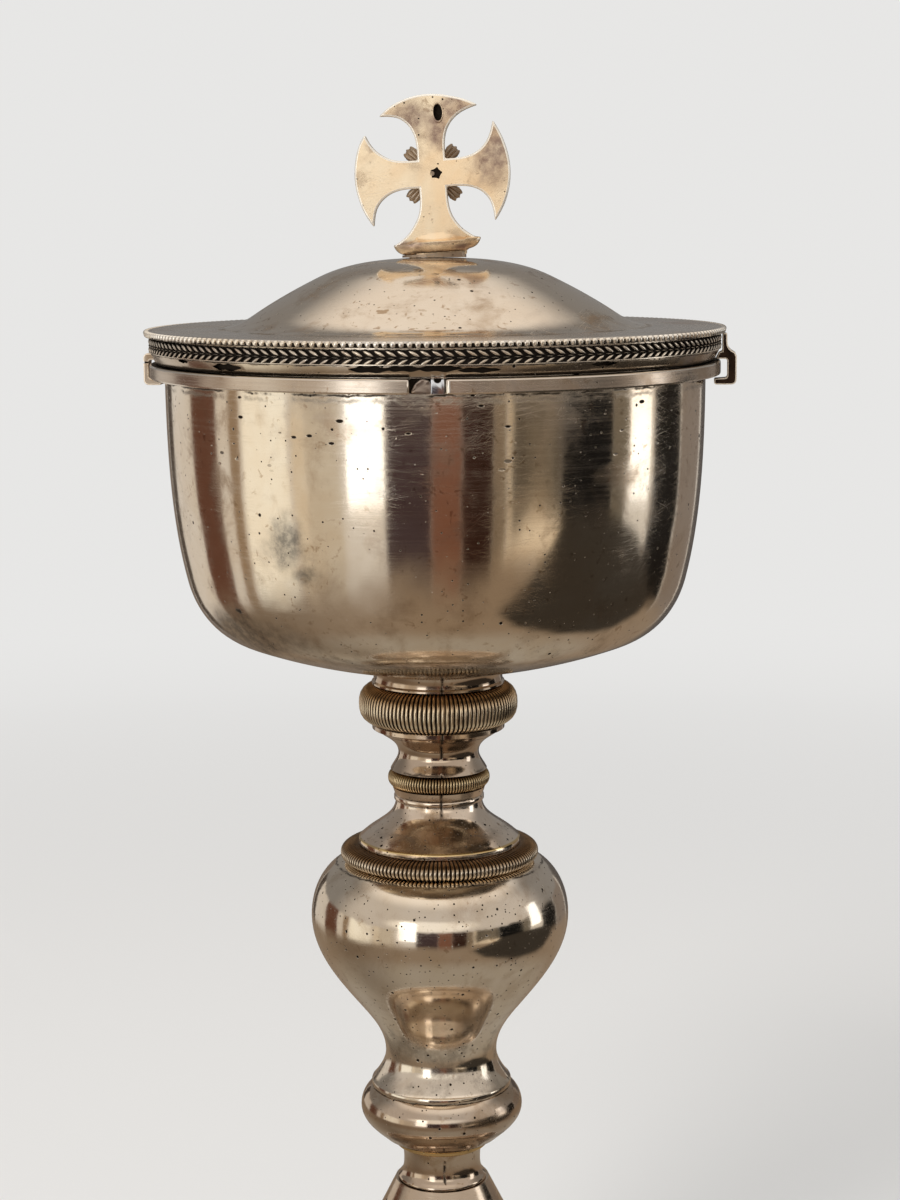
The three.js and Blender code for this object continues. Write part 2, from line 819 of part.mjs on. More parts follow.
// The cup: everything below the cover, and the band of the lock
const cup = new THREE.Group();
const rodTop = bowlLevel - bossHeight + rodInBoss;
const washerLevel = footTop - footWall - washerThickness;
const nutLevel = washerLevel - nutHeight;
const rodFoot = nutLevel - rodTail;
cup.add(
  piece('foot_ring', footRing(), silver),
  piece('foot_cushion', footCushion(), silver, footRingHeight),
  piece('foot_shell', footShell(), silver, footTop - footTrumpetRise),
  piece('foot_washer', ring(rodRadius + boltPlay, washerRadius, washerThickness, smallFacets), iron, washerLevel),
  piece('foot_nut', nut(nutAcross, nutHeight, rodRadius + solderGap), iron, nutLevel),
  piece('tie_rod', rod(rodRadius, rodTop - rodFoot), iron, rodFoot),
  piece('neck_ring', neckRing(), silver, footTop),
  piece('lower_knob', lowerKnob(), silver, knobLevel),
  piece('knop_lower', knopLower(), silver, knopLevel),
  piece('knop_upper', knopUpper(), silver, knopLevel),
  piece(
    'reeded_ring_lower',
    reededRing(flareSpigotRadius + solderGap, lowerRingRadius, lowerRingHeight),
    gilt,
    lowerRingLevel,
  ),
  piece('stem_flare', flare(), silver, lowerRingLevel),
  piece(
    'reeded_ring_middle',
    reededRing(middleRingBore, middleRingRadius, middleRingHeight),
    gilt,
    middleRingLevel,
  ),
  piece('stem_waist', waistedPiece(), silver, waistLevelInRow),
  piece(
    'reeded_ring_upper',
    reededRing(waistSpigotRadius + solderGap, upperRingRadius, upperRingHeight),
    gilt,
    upperRingLevel,
  ),
  piece('bowl_collar', bowlCollar(), silver, collarLevel),
  piece(
    'bowl_boss',
    ring(rodRadius + solderGap, bossRadius, bossHeight, smallFacets),
    iron,
    bowlLevel - bossHeight,
  ),
  piece('bowl', bowl(), silver, bowlLevel),
  piece('lock_band_right', halfBand(1), silver, bandUnder),
  piece('lock_band_left', halfBand(-1), silver, bandUnder),
);
const frontLug = piece('gap_lug_front', gapLug(), silver, bandUnder);
frontLug.rotation.z = degToRad(gapAngle);
const backLug = piece('gap_lug_back', gapLug(), silver, bandUnder);
backLug.rotation.z = degToRad(gapAngle + 180);
cup.add(frontLug, backLug);

// The cover, which turns on the cup
const cover = new THREE.Group();
const domeUnder = domeTop - coverWall;
const studWasherLevel = domeUnder - solderGap - studWasherThickness;
const studNutLevel = studWasherLevel - studNutHeight;
const studTop = crossFootLevel - runningGap - (crossFootSeatRadius * Math.sin(degToRad(-crossLean))) / 2;
cover.add(
  piece('cover_shell', coverShell(), silver, plateUnder),
  piece('cover_bead_ring', beadRing(), silver, plateTop - beadRadius),
  piece('cover_leaf_band', leafBand(), silver, skirtLevel + skirtFlangeRise),
  piece('cover_skirt', skirt(), silver, skirtLevel),
  piece('cover_bezel', bezel(), silver, plateUnder - bezelHeight),
  piece('cross_collar', crossCollar(), paleGilt),
  piece('cross_stud', rod(studRadius, studLength), paleGilt, studTop - studLength),
  piece(
    'cross_washer',
    ring(studRadius + boltPlay, studWasherRadius, studWasherThickness, smallFacets),
    iron,
    studWasherLevel,
  ),
  piece('cross_nut', nut(studNutAcross, studNutHeight, studRadius + solderGap), iron, studNutLevel),
);
const rightHook = piece('hook_right', hook(true), silver);
rightHook.rotation.z = degToRad(hookAngle);
const leftHook = piece('hook_left', hook(false), silver);
leftHook.rotation.z = degToRad(hookAngle + 180);
cover.add(rightHook, leftHook);

const crossMiddle = crossRadius + runningGap;
leaning.add(
  piece('cross', cross(), paleGilt, crossMiddle),
  piece('cross_rosette', rosette(), paleGilt, crossMiddle),
  piece('rosette_rivet', rosetteRivet(), paleGilt, crossMiddle),
);
cover.add(leaning);

const ciborium = new THREE.Group();
ciborium.add(cup, cover);

export default ciborium;
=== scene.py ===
import math

import bmesh
import bpy
from mathutils import Matrix, Vector


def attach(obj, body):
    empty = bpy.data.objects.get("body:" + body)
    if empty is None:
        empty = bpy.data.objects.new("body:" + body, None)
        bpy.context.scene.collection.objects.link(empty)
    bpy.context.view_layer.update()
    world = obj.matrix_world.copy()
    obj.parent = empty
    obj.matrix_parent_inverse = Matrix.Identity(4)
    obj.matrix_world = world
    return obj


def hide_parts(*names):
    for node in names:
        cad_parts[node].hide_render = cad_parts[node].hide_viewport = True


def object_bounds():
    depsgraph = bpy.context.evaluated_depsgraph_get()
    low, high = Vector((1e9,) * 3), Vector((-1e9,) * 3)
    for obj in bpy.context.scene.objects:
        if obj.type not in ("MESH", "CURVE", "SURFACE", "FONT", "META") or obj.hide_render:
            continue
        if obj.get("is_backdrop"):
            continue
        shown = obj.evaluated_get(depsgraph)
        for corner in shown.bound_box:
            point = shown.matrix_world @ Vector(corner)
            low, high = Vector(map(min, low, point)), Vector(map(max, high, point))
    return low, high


# A covered cup on a tall stem. Outlines are (radius, height) in millimetres. +Z runs up
# the axis, the foot stands on the floor, and the plain back of the cross and the front
# gap of the lock face -Y.

MM = 0.001
FULL_TURN = 2 * math.pi
WIDE_STEPS = 180
STEM_STEPS = 120

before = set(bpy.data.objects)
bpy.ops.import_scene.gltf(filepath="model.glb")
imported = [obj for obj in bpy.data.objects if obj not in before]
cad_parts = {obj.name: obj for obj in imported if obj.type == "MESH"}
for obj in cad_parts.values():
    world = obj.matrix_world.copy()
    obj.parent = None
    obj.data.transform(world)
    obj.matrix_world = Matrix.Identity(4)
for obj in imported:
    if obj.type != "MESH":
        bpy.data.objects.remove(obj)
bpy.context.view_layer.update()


# Selecting and editing


def deselect():
    if bpy.context.mode != "OBJECT":
        bpy.ops.object.mode_set(mode="OBJECT")
    bpy.ops.object.select_all(action="DESELECT")


def take(piece):
    """The piece alone is selected and active."""
    deselect()
    piece.select_set(True)
    bpy.context.view_layer.objects.active = piece


def begin_edit(piece):
    take(piece)
    bpy.ops.object.mode_set(mode="EDIT")
    bpy.ops.mesh.select_all(action="DESELECT")


def end_edit():
    bpy.ops.object.mode_set(mode="OBJECT")


def select_vertices(piece, wanted):
    """In edit mode, the vertices for which wanted(place in mm) holds are selected."""
    bpy.ops.mesh.select_mode(type="VERT")
    bpy.ops.mesh.select_all(action="DESELECT")
    net = bmesh.from_edit_mesh(piece.data)
    for vertex in net.verts:
        if wanted(vertex.co / MM):
            vertex.select = True
    net.select_flush_mode()
    bmesh.update_edit_mesh(piece.data)


def shape(piece, wanted, scale=(1, 1, 1), shift=(0, 0, 0), center=(0, 0, 0)):
    """The vertices for which wanted(place) holds are scaled about a centre and moved."""
    begin_edit(piece)
    select_vertices(piece, wanted)
    bpy.ops.transform.resize(value=scale, center_override=Vector(center) * MM)
    bpy.ops.transform.translate(value=Vector(shift) * MM)
    end_edit()


def apply_place(piece):
    take(piece)
    bpy.ops.object.transform_apply(location=True, rotation=True, scale=True)


def put(piece, place=(0, 0, 0), scale=(1, 1, 1), turn=(0, 0, 0)):
    """The piece is scaled, turned (in degrees) and moved (in mm), and keeps that in its mesh."""
    piece.scale = scale
    piece.rotation_euler = [math.radians(angle) for angle in turn]
    piece.location = Vector(place) * MM
    apply_place(piece)
    return piece


def point_outwards(piece):
    begin_edit(piece)
    bpy.ops.mesh.select_all(action="SELECT")
    bpy.ops.mesh.remove_doubles(threshold=0.001 * MM)
    bpy.ops.mesh.normals_make_consistent(inside=False)
    end_edit()


def smooth(piece, angle=35, keep_flat=False):
    take(piece)
    bpy.ops.object.shade_smooth_by_angle(angle=math.radians(angle))
    if keep_flat:
        modify(piece, "WEIGHTED_NORMAL", keep_sharp=True)


def modify(piece, kind, **settings):
    take(piece)
    bpy.ops.object.modifier_add(type=kind)
    modifier = piece.modifiers[-1]
    for setting, value in settings.items():
        setattr(modifier, setting, value)
    bpy.ops.object.modifier_apply(modifier=modifier.name)


def soften(piece, width, segments=2, angle=30, edge_finish=-1):
    """Bevelled edges, which take the finish with the given number."""
    modify(
        piece,
        "BEVEL",
        width=width * MM,
        segments=segments,
        limit_method="ANGLE",
        angle_limit=math.radians(angle),
        material=edge_finish,
    )


def join(name, pieces):
    take(pieces[0])
    for piece in pieces:
        piece.select_set(True)
    bpy.ops.object.join()
    pieces[0].name = name
    return pieces[0]


def cut(piece, cutter, operation="DIFFERENCE"):
    modify(piece, "BOOLEAN", object=cutter, operation=operation, solver="EXACT")
    bpy.data.objects.remove(cutter)


def repeat_round(piece, count, axis=2):
    """Copies of the piece round an axis, as one mesh."""
    turner = bpy.data.objects.new("turner", None)
    bpy.context.scene.collection.objects.link(turner)
    turner.rotation_euler[axis] = FULL_TURN / count
    bpy.context.view_layer.update()
    modify(
        piece,
        "ARRAY",
        count=count,
        use_relative_offset=False,
        use_object_offset=True,
        offset_object=turner,
    )
    bpy.data.objects.remove(turner)


# Starting shapes, with sizes in mm


def ball(width=1.0, segments=12, rings=8):
    deselect()
    bpy.ops.mesh.primitive_uv_sphere_add(segments=segments, ring_count=rings, radius=width / 2 * MM)
    return bpy.context.object


def block(width=1.0):
    deselect()
    bpy.ops.mesh.primitive_cube_add(size=width * MM)
    return bpy.context.object


def rod(radius, length, facets=32):
    deselect()
    bpy.ops.mesh.primitive_cylinder_add(vertices=facets, radius=radius * MM, depth=length * MM)
    return bpy.context.object


# Outlines


def station(radius, height, heading, facets=8):
    """A point of an outline with the direction of travel there, in degrees."""
    return radius, height, math.radians(heading), facets


def curve_points(a, b, c, d, facets):
    points = []
    for step in range(1, facets + 1):
        t = step / facets
        u = 1 - t
        weights = (u**3, 3 * u * u * t, 3 * u * t * t, t**3)
        points.append(tuple(
            sum(w * p[i] for w, p in zip(weights, (a, b, c, d))) for i in (0, 1)
        ))
    return points


def round_outline(stations):
    """Round stretches that pass through the stations in their directions."""
    points = [stations[0][:2]]
    for (x0, z0, turn0, _), (x1, z1, turn1, facets) in zip(stations, stations[1:]):
        chord = math.hypot(x1 - x0, z1 - z0)
        pull = chord / (3 * math.cos((turn1 - turn0) / 4) ** 2)
        leaving = (x0 + pull * math.cos(turn0), z0 + pull * math.sin(turn0))
        arriving = (x1 - pull * math.cos(turn1), z1 - pull * math.sin(turn1))
        points += curve_points((x0, z0), leaving, arriving, (x1, z1), facets)
    return points


def inset(stations, wall):
    """The stations of the inner side of a wall."""
    return [
        (
            x + wall * math.cos(turn + math.pi / 2),
            z + wall * math.sin(turn + math.pi / 2),
            turn,
            facets,
        )
        for x, z, turn, facets in stations
    ]


def lift(outline, level):
    return [(radius, height + level) for radius, height in outline]


def arc(middle, radius, first, last, steps=6):
    """Points of an arc, with angles in degrees."""
    angles = [math.radians(first + (last - first) * i / steps) for i in range(steps + 1)]
    return [(middle[0] + radius * math.cos(a), middle[1] + radius * math.sin(a)) for a in angles]


def half_round(bore, radius, height, level, fullness, facets):
    """The outline of a ring that bulges from its bore, squarer the greater its fullness."""
    points = [(bore, level)]
    for step in range(1, facets):
        rise = -math.cos(math.pi * step / facets)
        out = (1 - abs(rise) ** fullness) ** (1 / fullness)
        points.append((bore + (radius - bore) * out, level + height * (1 + rise) / 2))
    points.append((bore, level + height))
    return points


# Turned and drawn pieces


def draw(name, points):
    """A line of edges through points in mm, closed on itself if it ends where it starts."""
    deselect()
    bpy.ops.mesh.primitive_plane_add(size=MM)
    piece = bpy.context.object
    piece.name = name
    piece.data.name = name
    bpy.ops.object.mode_set(mode="EDIT")
    bpy.ops.mesh.select_mode(type="VERT")
    bpy.ops.mesh.select_all(action="SELECT")
    bpy.ops.mesh.merge(type="CENTER")
    bpy.ops.transform.translate(value=Vector(points[0]) * MM)
    for start, end in zip(points, points[1:]):
        step = (Vector(end) - Vector(start)) * MM
        bpy.ops.mesh.extrude_region_move(TRANSFORM_OT_translate={"value": step})
    bpy.ops.mesh.select_all(action="SELECT")
    bpy.ops.mesh.remove_doubles(threshold=0.001 * MM)
    return piece


def spin_line(name, outline, steps, start, sweep):
    """An open or closed line of edges swept round the axis, counterclockwise from above."""
    across, along = math.cos(start), math.sin(start)
    piece = draw(name, [(r * across, r * along, z) for r, z in outline])
    bpy.ops.mesh.spin(steps=steps, angle=-sweep, center=(0, 0, 0), axis=(0, 0, 1))
    return piece


def turned(name, outline, steps=WIDE_STEPS, start=-math.pi / 2, sweep=FULL_TURN):
    """An outline turned round the axis. One that doesn't begin and end on it is closed."""
    if not (outline[0][0] == 0 and outline[-1][0] == 0):
        outline = [*outline, outline[0]]
    piece = spin_line(name, outline, steps, start, sweep)
    if sweep < FULL_TURN:
        bpy.ops.mesh.select_all(action="DESELECT")
        bpy.ops.mesh.select_mode(type="EDGE")
        bpy.ops.mesh.select_non_manifold()
        bpy.ops.mesh.fill_holes(sides=0)
        bpy.ops.mesh.select_mode(type="VERT")
    end_edit()
    point_outwards(piece)
    smooth(piece)
    return piece


def plate(name, points, thickness, direction):
    """A closed outline filled and given a thickness along a direction."""
    piece = draw(name, [*points, points[0]])
    bpy.ops.mesh.edge_face_add()
    step = Vector(direction) * thickness * MM
    bpy.ops.mesh.extrude_region_move(TRANSFORM_OT_translate={"value": step})
    end_edit()
    point_outwards(piece)
    return piece


# Nodes of a finish


class Finish:
    """A finish: its shader, and the nodes that feed it from object coordinates."""

    def __init__(self, name, metallic=1.0):
        self.material = bpy.data.materials.new(name)
        self.material.use_nodes = True
        self.tree = self.material.node_tree
        self.shader = self.tree.nodes["Principled BSDF"]
        self.shader.inputs["Metallic"].default_value = metallic
        self.place = self.add("TexCoord").outputs["Object"]
        self.x, self.y, self.z = self.add("SeparateXYZ", self.place).outputs
        self.radius = self.math(
            "SQRT", self.sum(self.times(self.x, self.x), self.times(self.y, self.y)),
        )
        self.angle = self.math("ARCTAN2", self.x, self.times(self.y, -1.0))

    def add(self, kind, *values, **settings):
        node = self.tree.nodes.new("ShaderNode" + kind)
        for setting, value in settings.items():
            setattr(node, setting, value)
        for socket, value in zip(node.inputs, values):
            self.feed(socket, value)
        return node

    def feed(self, socket, value):
        if value is None:
            return
        if isinstance(value, bpy.types.NodeSocket):
            self.tree.links.new(value, socket)
        else:
            socket.default_value = value

    def math(self, operation, *values):
        return self.add("Math", *values, operation=operation).outputs[0]

    def sum(self, *values):
        total = values[0]
        for value in values[1:]:
            total = self.math("ADD", total, value)
        return total

    def times(self, *values):
        product = values[0]
        for value in values[1:]:
            product = self.math("MULTIPLY", product, value)
        return product

    def less(self, a, b):
        return self.math("SUBTRACT", a, b)

    def most(self, *values):
        top = values[0]
        for value in values[1:]:
            top = self.math("MAXIMUM", top, value)
        return top

    def vector(self, x, y, z):
        return self.add("CombineXYZ", x, y, z).outputs[0]

    def noise(self, vector, scale, detail=3.0, roughness=0.5, warp=0.0):
        node = self.add("TexNoise", noise_dimensions="3D")
        self.feed(node.inputs["Vector"], vector)
        for socket, value in (
            ("Scale", scale), ("Detail", detail), ("Roughness", roughness), ("Distortion", warp),
        ):
            node.inputs[socket].default_value = value
        return node.outputs[0]

    def between(self, value, low, high, to_low=0.0, to_high=1.0):
        node = self.add("MapRange", interpolation_type="SMOOTHSTEP", clamp=True)
        for socket, number in zip(node.inputs, (value, low, high, to_low, to_high)):
            self.feed(socket, number)
        return node.outputs[0]

    def near(self, value, level, reach):
        """1 where the value is at the level, down to 0 at the reach from it."""
        away = self.math("ABSOLUTE", self.less(value, level))
        return self.between(away, 0.0, reach, 1.0, 0.0)

    def patches(self, scale, low, high, detail=4.0, roughness=0.6, warp=0.4):
        return self.between(self.noise(self.place, scale, detail, roughness, warp), low, high)

    def brushed(self, fine):
        """Lines that run round the axis."""
        rise = self.times(self.sum(self.radius, self.z), fine)
        drawn_out = self.vector(rise, self.times(self.x, 45.0), self.times(self.y, 45.0))
        return self.noise(drawn_out, 1.0, 3.0, 0.6)

    def scratches(self, length, width, tilt, low, high):
        """Straight scratches, level but for a tilt in degrees, with sizes in mm."""
        turn = (math.radians(tilt), math.radians(-tilt), 0.0)
        size = (length * MM, length * MM, width * MM)
        node = self.add("Mapping", self.place, (0.0, 0.0, 0.0), turn, size, vector_type="TEXTURE")
        return self.between(self.noise(node.outputs[0], 1.0, 1.0, 0.4), low, high)

    def pits(self, spacing, width, share, flat=1.0):
        """Dots of unequal size in a share of the cells, in mm, drawn out sideways by flat."""
        node = self.add("TexVoronoi", feature="F1", voronoi_dimensions="3D")
        side = 1.0 / (spacing * MM)
        vector = self.vector(
            self.times(self.x, side / flat), self.times(self.y, side / flat), self.times(self.z, side),
        )
        self.feed(node.inputs["Vector"], vector)
        node.inputs["Scale"].default_value = 1.0
        chance = self.add("SeparateColor", node.outputs["Color"]).outputs
        most = width / 2 / spacing
        reach = self.times(self.between(chance[0], 1.0 - share, 1.0, 0.35, 1.0), most)
        shown = self.math("GREATER_THAN", chance[0], 1.0 - share)
        inside = self.between(self.less(reach, node.outputs["Distance"]), 0.0, 0.3 * most)
        return self.times(inside, shown)

    def spot(self, azimuth, radius, level, width, height, full=0.30, last=0.55):
        """One ragged mark on the wall, at a place given in degrees from the front and in mm. It is
        full up to one share of its width from its middle and ends at the other."""
        turn = math.radians(azimuth)
        middle = (radius * math.sin(turn) * MM, -radius * math.cos(turn) * MM, level * MM)
        from_middle = self.add("VectorMath", self.place, middle, operation="SUBTRACT").outputs[0]
        to_round = (1.0, 1.0, width / height)
        rounded = self.add("VectorMath", from_middle, to_round, operation="MULTIPLY").outputs[0]
        away = self.add("VectorMath", rounded, operation="LENGTH").outputs["Value"]
        edge = self.less(self.noise(self.place, 1500.0 / width, 4.0, 0.6), 0.5)
        away = self.sum(away, self.times(edge, width * 0.9 * MM))
        return self.between(away, width * full * MM, width * last * MM, 1.0, 0.0)

    def mix(self, share, a, b):
        node = self.add("Mix", data_type="RGBA")
        sockets = [s for s in node.inputs if s.type == "RGBA"]
        self.feed(node.inputs[0], share)
        for socket, color in zip(sockets, (a, b)):
            self.feed(socket, (*color, 1.0) if isinstance(color, tuple) else color)
        return [s for s in node.outputs if s.type == "RGBA"][0]

    def bump(self, height, depth, below=None):
        node = self.add("Bump")
        node.inputs["Strength"].default_value = 1.0
        node.inputs["Distance"].default_value = depth * MM
        self.feed(node.inputs["Height"], height)
        self.feed(node.inputs["Normal"], below)
        return node.outputs[0]

    def finish(self, color, roughness, normal):
        self.feed(self.shader.inputs["Base Color"], color)
        self.feed(self.shader.inputs["Roughness"], roughness)
        self.feed(self.shader.inputs["Normal"], normal)
        return self.material


# Colours of the metal
WARM_SILVER = (0.75, 0.60, 0.44)
BROWN_STAIN = (0.40, 0.27, 0.16)
GREY_STAIN = (0.30, 0.25, 0.235)
BLACK = (0.030, 0.023, 0.018)
GILT = (0.78, 0.57, 0.28)


def old_silver(
    name, polish, brush=1.0, marks=1.0, pits=0.5, brown=0.4, grey=0.3, waves=0.6,
    tint=(0.80, 0.69, 0.56), warm=WARM_SILVER, shade_and_soot=(), gilded=None, seam=None, spots=(),
    smudges=(), smudge_tint=(0.15, 0.135, 0.12), stretch=0.0, high=None, metallic=1.0,
):
    """Worn silver. Polish is its roughness where it is clean. Brush and marks are how much
    fine lines and single scratches show, pits, brown and grey how much of it they take.
    Painted shade, with some soot, darkens bands at levels given as (level, reach, strength),
    at and near the joins between parts. Spots are single dark marks and
    smudges dull ones, with the values of Finish.spot. Gilded is a band between two levels,
    seam the direction of a soldered seam, and high the levels between which dashes begin."""
    f = Finish(name, metallic)
    color = f.mix(f.patches(34.0, 0.36, 0.66), tint, warm)
    stained = f.times(f.patches(75.0, 0.50, 0.72, 5.0, 0.62), brown)
    color = f.mix(stained, color, BROWN_STAIN)
    speckles = f.times(f.patches(460.0, 0.60, 0.70, 3.0), f.patches(60.0, 0.44, 0.60, 2.0))
    color = f.mix(f.times(speckles, brown), color, BROWN_STAIN)
    greyed = f.times(f.patches(48.0, 0.54, 0.72, 5.0, 0.6), grey)
    color = f.mix(greyed, color, GREY_STAIN)
    for place in smudges:
        mottled = f.between(f.noise(f.place, 520.0, 4.0, 0.7), 0.30, 0.66, 0.45, 0.85)
        color = f.mix(f.times(f.spot(*place, 0.18, 0.66), mottled), color, smudge_tint)
    if gilded:
        low, top = gilded
        band = f.times(
            f.between(f.z, (low - 0.1) * MM, (low + 0.1) * MM),
            f.between(f.z, top * MM, (top + 0.15) * MM, 1.0, 0.0),
        )
        color = f.mix(band, color, GILT)

    lines = f.brushed(3600.0)
    hair = f.most(
        f.scratches(13.0, 0.055, 9.0, 0.67, 0.74),
        f.scratches(10.0, 0.050, -16.0, 0.68, 0.75),
        f.scratches(7.0, 0.055, 40.0, 0.69, 0.76),
    )
    hair = f.times(hair, f.patches(40.0, 0.38, 0.60, 3.0))

    holes = f.most(f.pits(1.05, 0.46, 0.28 * pits), f.pits(2.6, 0.85, 0.20 * pits))
    if high:
        dashes = f.times(f.pits(2.2, 0.85, 1.4 * pits, 2.2), f.patches(60.0, 0.45, 0.51, 2.0))
        holes = f.most(holes, f.times(dashes, f.between(f.z, high[0] * MM, high[1] * MM)))
    if seam is not None:
        wander = f.times(f.less(f.noise(f.place, 150.0, 3.0), 0.5), 0.9 * MM)
        away = f.sum(f.times(f.less(f.angle, math.radians(seam)), f.radius), wander)
        holes = f.most(holes, f.times(f.near(away, 0.0, 0.60 * MM), f.patches(190.0, 0.45, 0.54, 3.0)))
    dark = holes
    for place in spots:
        dark = f.most(dark, f.times(f.spot(*place), 0.92))
    # Painted shade, with some soot, in ragged dark bands at the given levels.
    for level, reach, strength in shade_and_soot:
        uneven = f.noise(f.place, 420.0, 5.0, 0.7)
        ragged = f.sum(f.z, f.times(f.less(uneven, 0.5), reach * MM * 3.0))
        band = f.times(f.near(ragged, level * MM, reach * MM), strength)
        dark = f.most(dark, f.times(band, f.between(f.noise(f.place, 150.0, 4.0, 0.6), 0.40, 0.58)))
    color = f.mix(dark, color, BLACK)

    rough = f.sum(
        polish,
        f.times(f.between(lines, 0.35, 0.75), 0.10 * brush),
        f.times(stained, 0.22),
        f.times(greyed, 0.25),
        f.times(hair, 0.12 * marks),
        f.times(dark, 0.4),
    )
    normal = f.bump(f.noise(f.place, 42.0, 1.0, 0.4), 0.20 * waves)
    normal = f.bump(f.noise(f.place, 700.0, 3.0, 0.6), 0.004, normal)
    normal = f.bump(f.sum(f.times(lines, brush), f.times(hair, 0.6 * marks)), -0.0025, normal)
    normal = f.bump(holes, -0.08, normal)
    f.shader.inputs["Anisotropic"].default_value = stretch
    f.shader.inputs["Anisotropic Rotation"].default_value = 0.25 if stretch else 0.0
    return f.finish(color, f.math("MINIMUM", rough, 0.85), normal)


def ribbed_gilt(name, ribs, level, height, low_highlight_tint, top_shade_tint, seam=None):
    """Gilding on upright ribs, black-brown between them as painted shade, with a painted highlight over
    the lower half and painted shade towards the top.
    """
    f = Finish(name)
    phase = f.math("COSINE", f.times(f.angle, float(ribs)))
    wear = f.noise(f.place, 170.0, 4.0, 0.65)
    # Ribs show bright at their crests and dark in the hollows between: painted highlight and painted
    # shade.
    shown = f.between(f.sum(phase, f.times(f.less(wear, 0.5), 1.6)), -0.70, 0.35)
    if seam is not None:
        joint = f.near(f.times(f.less(f.angle, math.radians(seam)), f.radius), 0.0, 0.75 * MM)
        shown = f.most(shown, f.times(joint, f.between(wear, 0.40, 0.55)))
    # The lower half takes a painted highlight and the top painted shade, over the gilding's own tone.
    rise = f.between(f.z, (level + 0.40 * height) * MM, (level + 0.85 * height) * MM)
    metal = f.mix(rise, low_highlight_tint, top_shade_tint)
    metal = f.mix(f.times(f.patches(120.0, 0.50, 0.70), 0.55), metal, BROWN_STAIN)
    color = f.mix(shown, (0.030, 0.017, 0.009), metal)
    color = f.mix(f.pits(1.6, 0.5, 0.05), color, BLACK)
    rough = f.sum(0.16, f.times(f.less(1.0, shown), 0.35), f.times(wear, 0.12))
    return f.finish(color, rough, f.bump(f.noise(f.place, 1400.0, 3.0, 0.6), 0.015))


def carved_silver(name, low_radius, high_radius, tint, hollow=BLACK):
    """Ornament: bright where it stands proud, as a painted highlight, and black in its hollows, as
    tarnish and painted shade.
    """
    f = Finish(name, 0.85)
    # Proud parts take a painted highlight; hollows take painted shade with tarnish.
    proud = f.between(f.radius, low_radius * MM, high_radius * MM)
    wear = f.noise(f.place, 240.0, 4.0, 0.6)
    shown = f.between(f.sum(proud, f.times(f.less(wear, 0.5), 0.7)), 0.30, 0.75)
    metal = f.mix(f.patches(60.0, 0.4, 0.65), tint, WARM_SILVER)
    metal = f.mix(f.times(f.patches(35.0, 0.45, 0.65), 0.5), metal, GREY_STAIN)
    color = f.mix(shown, hollow, metal)
    rough = f.sum(0.20, f.times(f.less(1.0, shown), 0.4))
    return f.finish(color, rough, f.bump(f.noise(f.place, 1600.0, 3.0, 0.6), 0.02))


def dull_metal(name, tint, dirt, polish=0.38):
    f = Finish(name)
    patch = f.noise(f.place, 320.0, 4.0, 0.6)
    color = f.mix(f.between(patch, 0.42, 0.68), tint, dirt)
    color = f.mix(f.pits(1.2, 0.4, 0.10), color, BLACK)
    rough = f.sum(polish, f.times(patch, 0.25))
    return f.finish(color, rough, f.bump(f.noise(f.place, 1500.0, 3.0, 0.6), 0.02))


def finish_faces(piece, number, wanted=None):
    """Faces for which wanted(middle in mm, normal) holds take the finish with the number."""
    begin_edit(piece)
    bpy.ops.mesh.select_mode(type="FACE")
    net = bmesh.from_edit_mesh(piece.data)
    for face in net.faces:
        face.select = wanted is None or wanted(face.calc_center_median() / MM, face.normal)
    bmesh.update_edit_mesh(piece.data)
    piece.active_material_index = number
    bpy.ops.object.material_slot_assign()
    end_edit()


def dress(piece, *materials):
    piece.data.materials.clear()
    for material in materials:
        piece.data.materials.append(material)


def place_piece(piece, body, slot, *nodes):
    """The piece moves with its body and stands for its nodes."""
    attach(piece, body)
    if nodes:
        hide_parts(*nodes)


def turn_cup_piece(name, outline, material, *nodes, steps=WIDE_STEPS):
    piece = turned(name, outline, steps)
    dress(piece, material)
    place_piece(piece, "cup", "silver", *nodes)


# Levels of the pieces, in mm
FOOT_SEAT = 5.0
NECK = 54.0
KNOB = 62.6
KNOP = 77.0
LOWER_RING = 130.6
MIDDLE_RING = 148.0
WAIST = 152.2
UPPER_RING = 162.9
COLLAR = 172.0
BOWL = 176.0
BAND_TOP = 245.0
PLATE_UNDER = 251.5
PLATE_TOP = 252.5

# Direction of the soldered seam in the pieces of the stem, in degrees from the front
STEM_SEAM = 3.5

# Finishes
# The dark bands at given levels in these finishes are painted shade, with some soot, where parts meet.
bowl_silver = old_silver(
    "worn_silver_bowl", polish=0.085, brush=0.6, marks=0.9, pits=0.7, brown=0.60, grey=0.25, waves=0.5,
    tint=(0.90, 0.80, 0.67), warm=(0.82, 0.68, 0.52),
    shade_and_soot=[(241.5, 0.45, 0.95), (240.3, 0.8, 0.4), (177.0, 0.8, 0.8), (181.0, 7.0, 0.35)],
    spots=[(-49.5, 54.6, 194.6, 3.6, 1.7), (-47.0, 54.2, 193.6, 1.6, 1.2)],
    smudges=[
        (-31.5, 59.6, 209.5, 10.0, 14.0), (-27.5, 59.4, 203.5, 7.5, 5.5),
        (-50.0, 52.0, 189.0, 30.0, 13.0), (0.0, 40.0, 182.0, 60.0, 7.0),
    ],
    stretch=0.45, high=(224, 231),
)
stem_silver = old_silver(
    "worn_silver_stem", polish=0.09, brush=0.5, marks=0.5, pits=2.0, brown=0.9, grey=0.4, waves=0.5,
    tint=(0.68, 0.57, 0.46), warm=(0.58, 0.44, 0.32),
    shade_and_soot=[(152.5, 0.5, 0.8), (162.9, 0.4, 0.9), (160.6, 0.25, 0.6), (62.9, 0.5, 0.9), (54.2, 0.5, 0.9)],
    seam=STEM_SEAM,
)
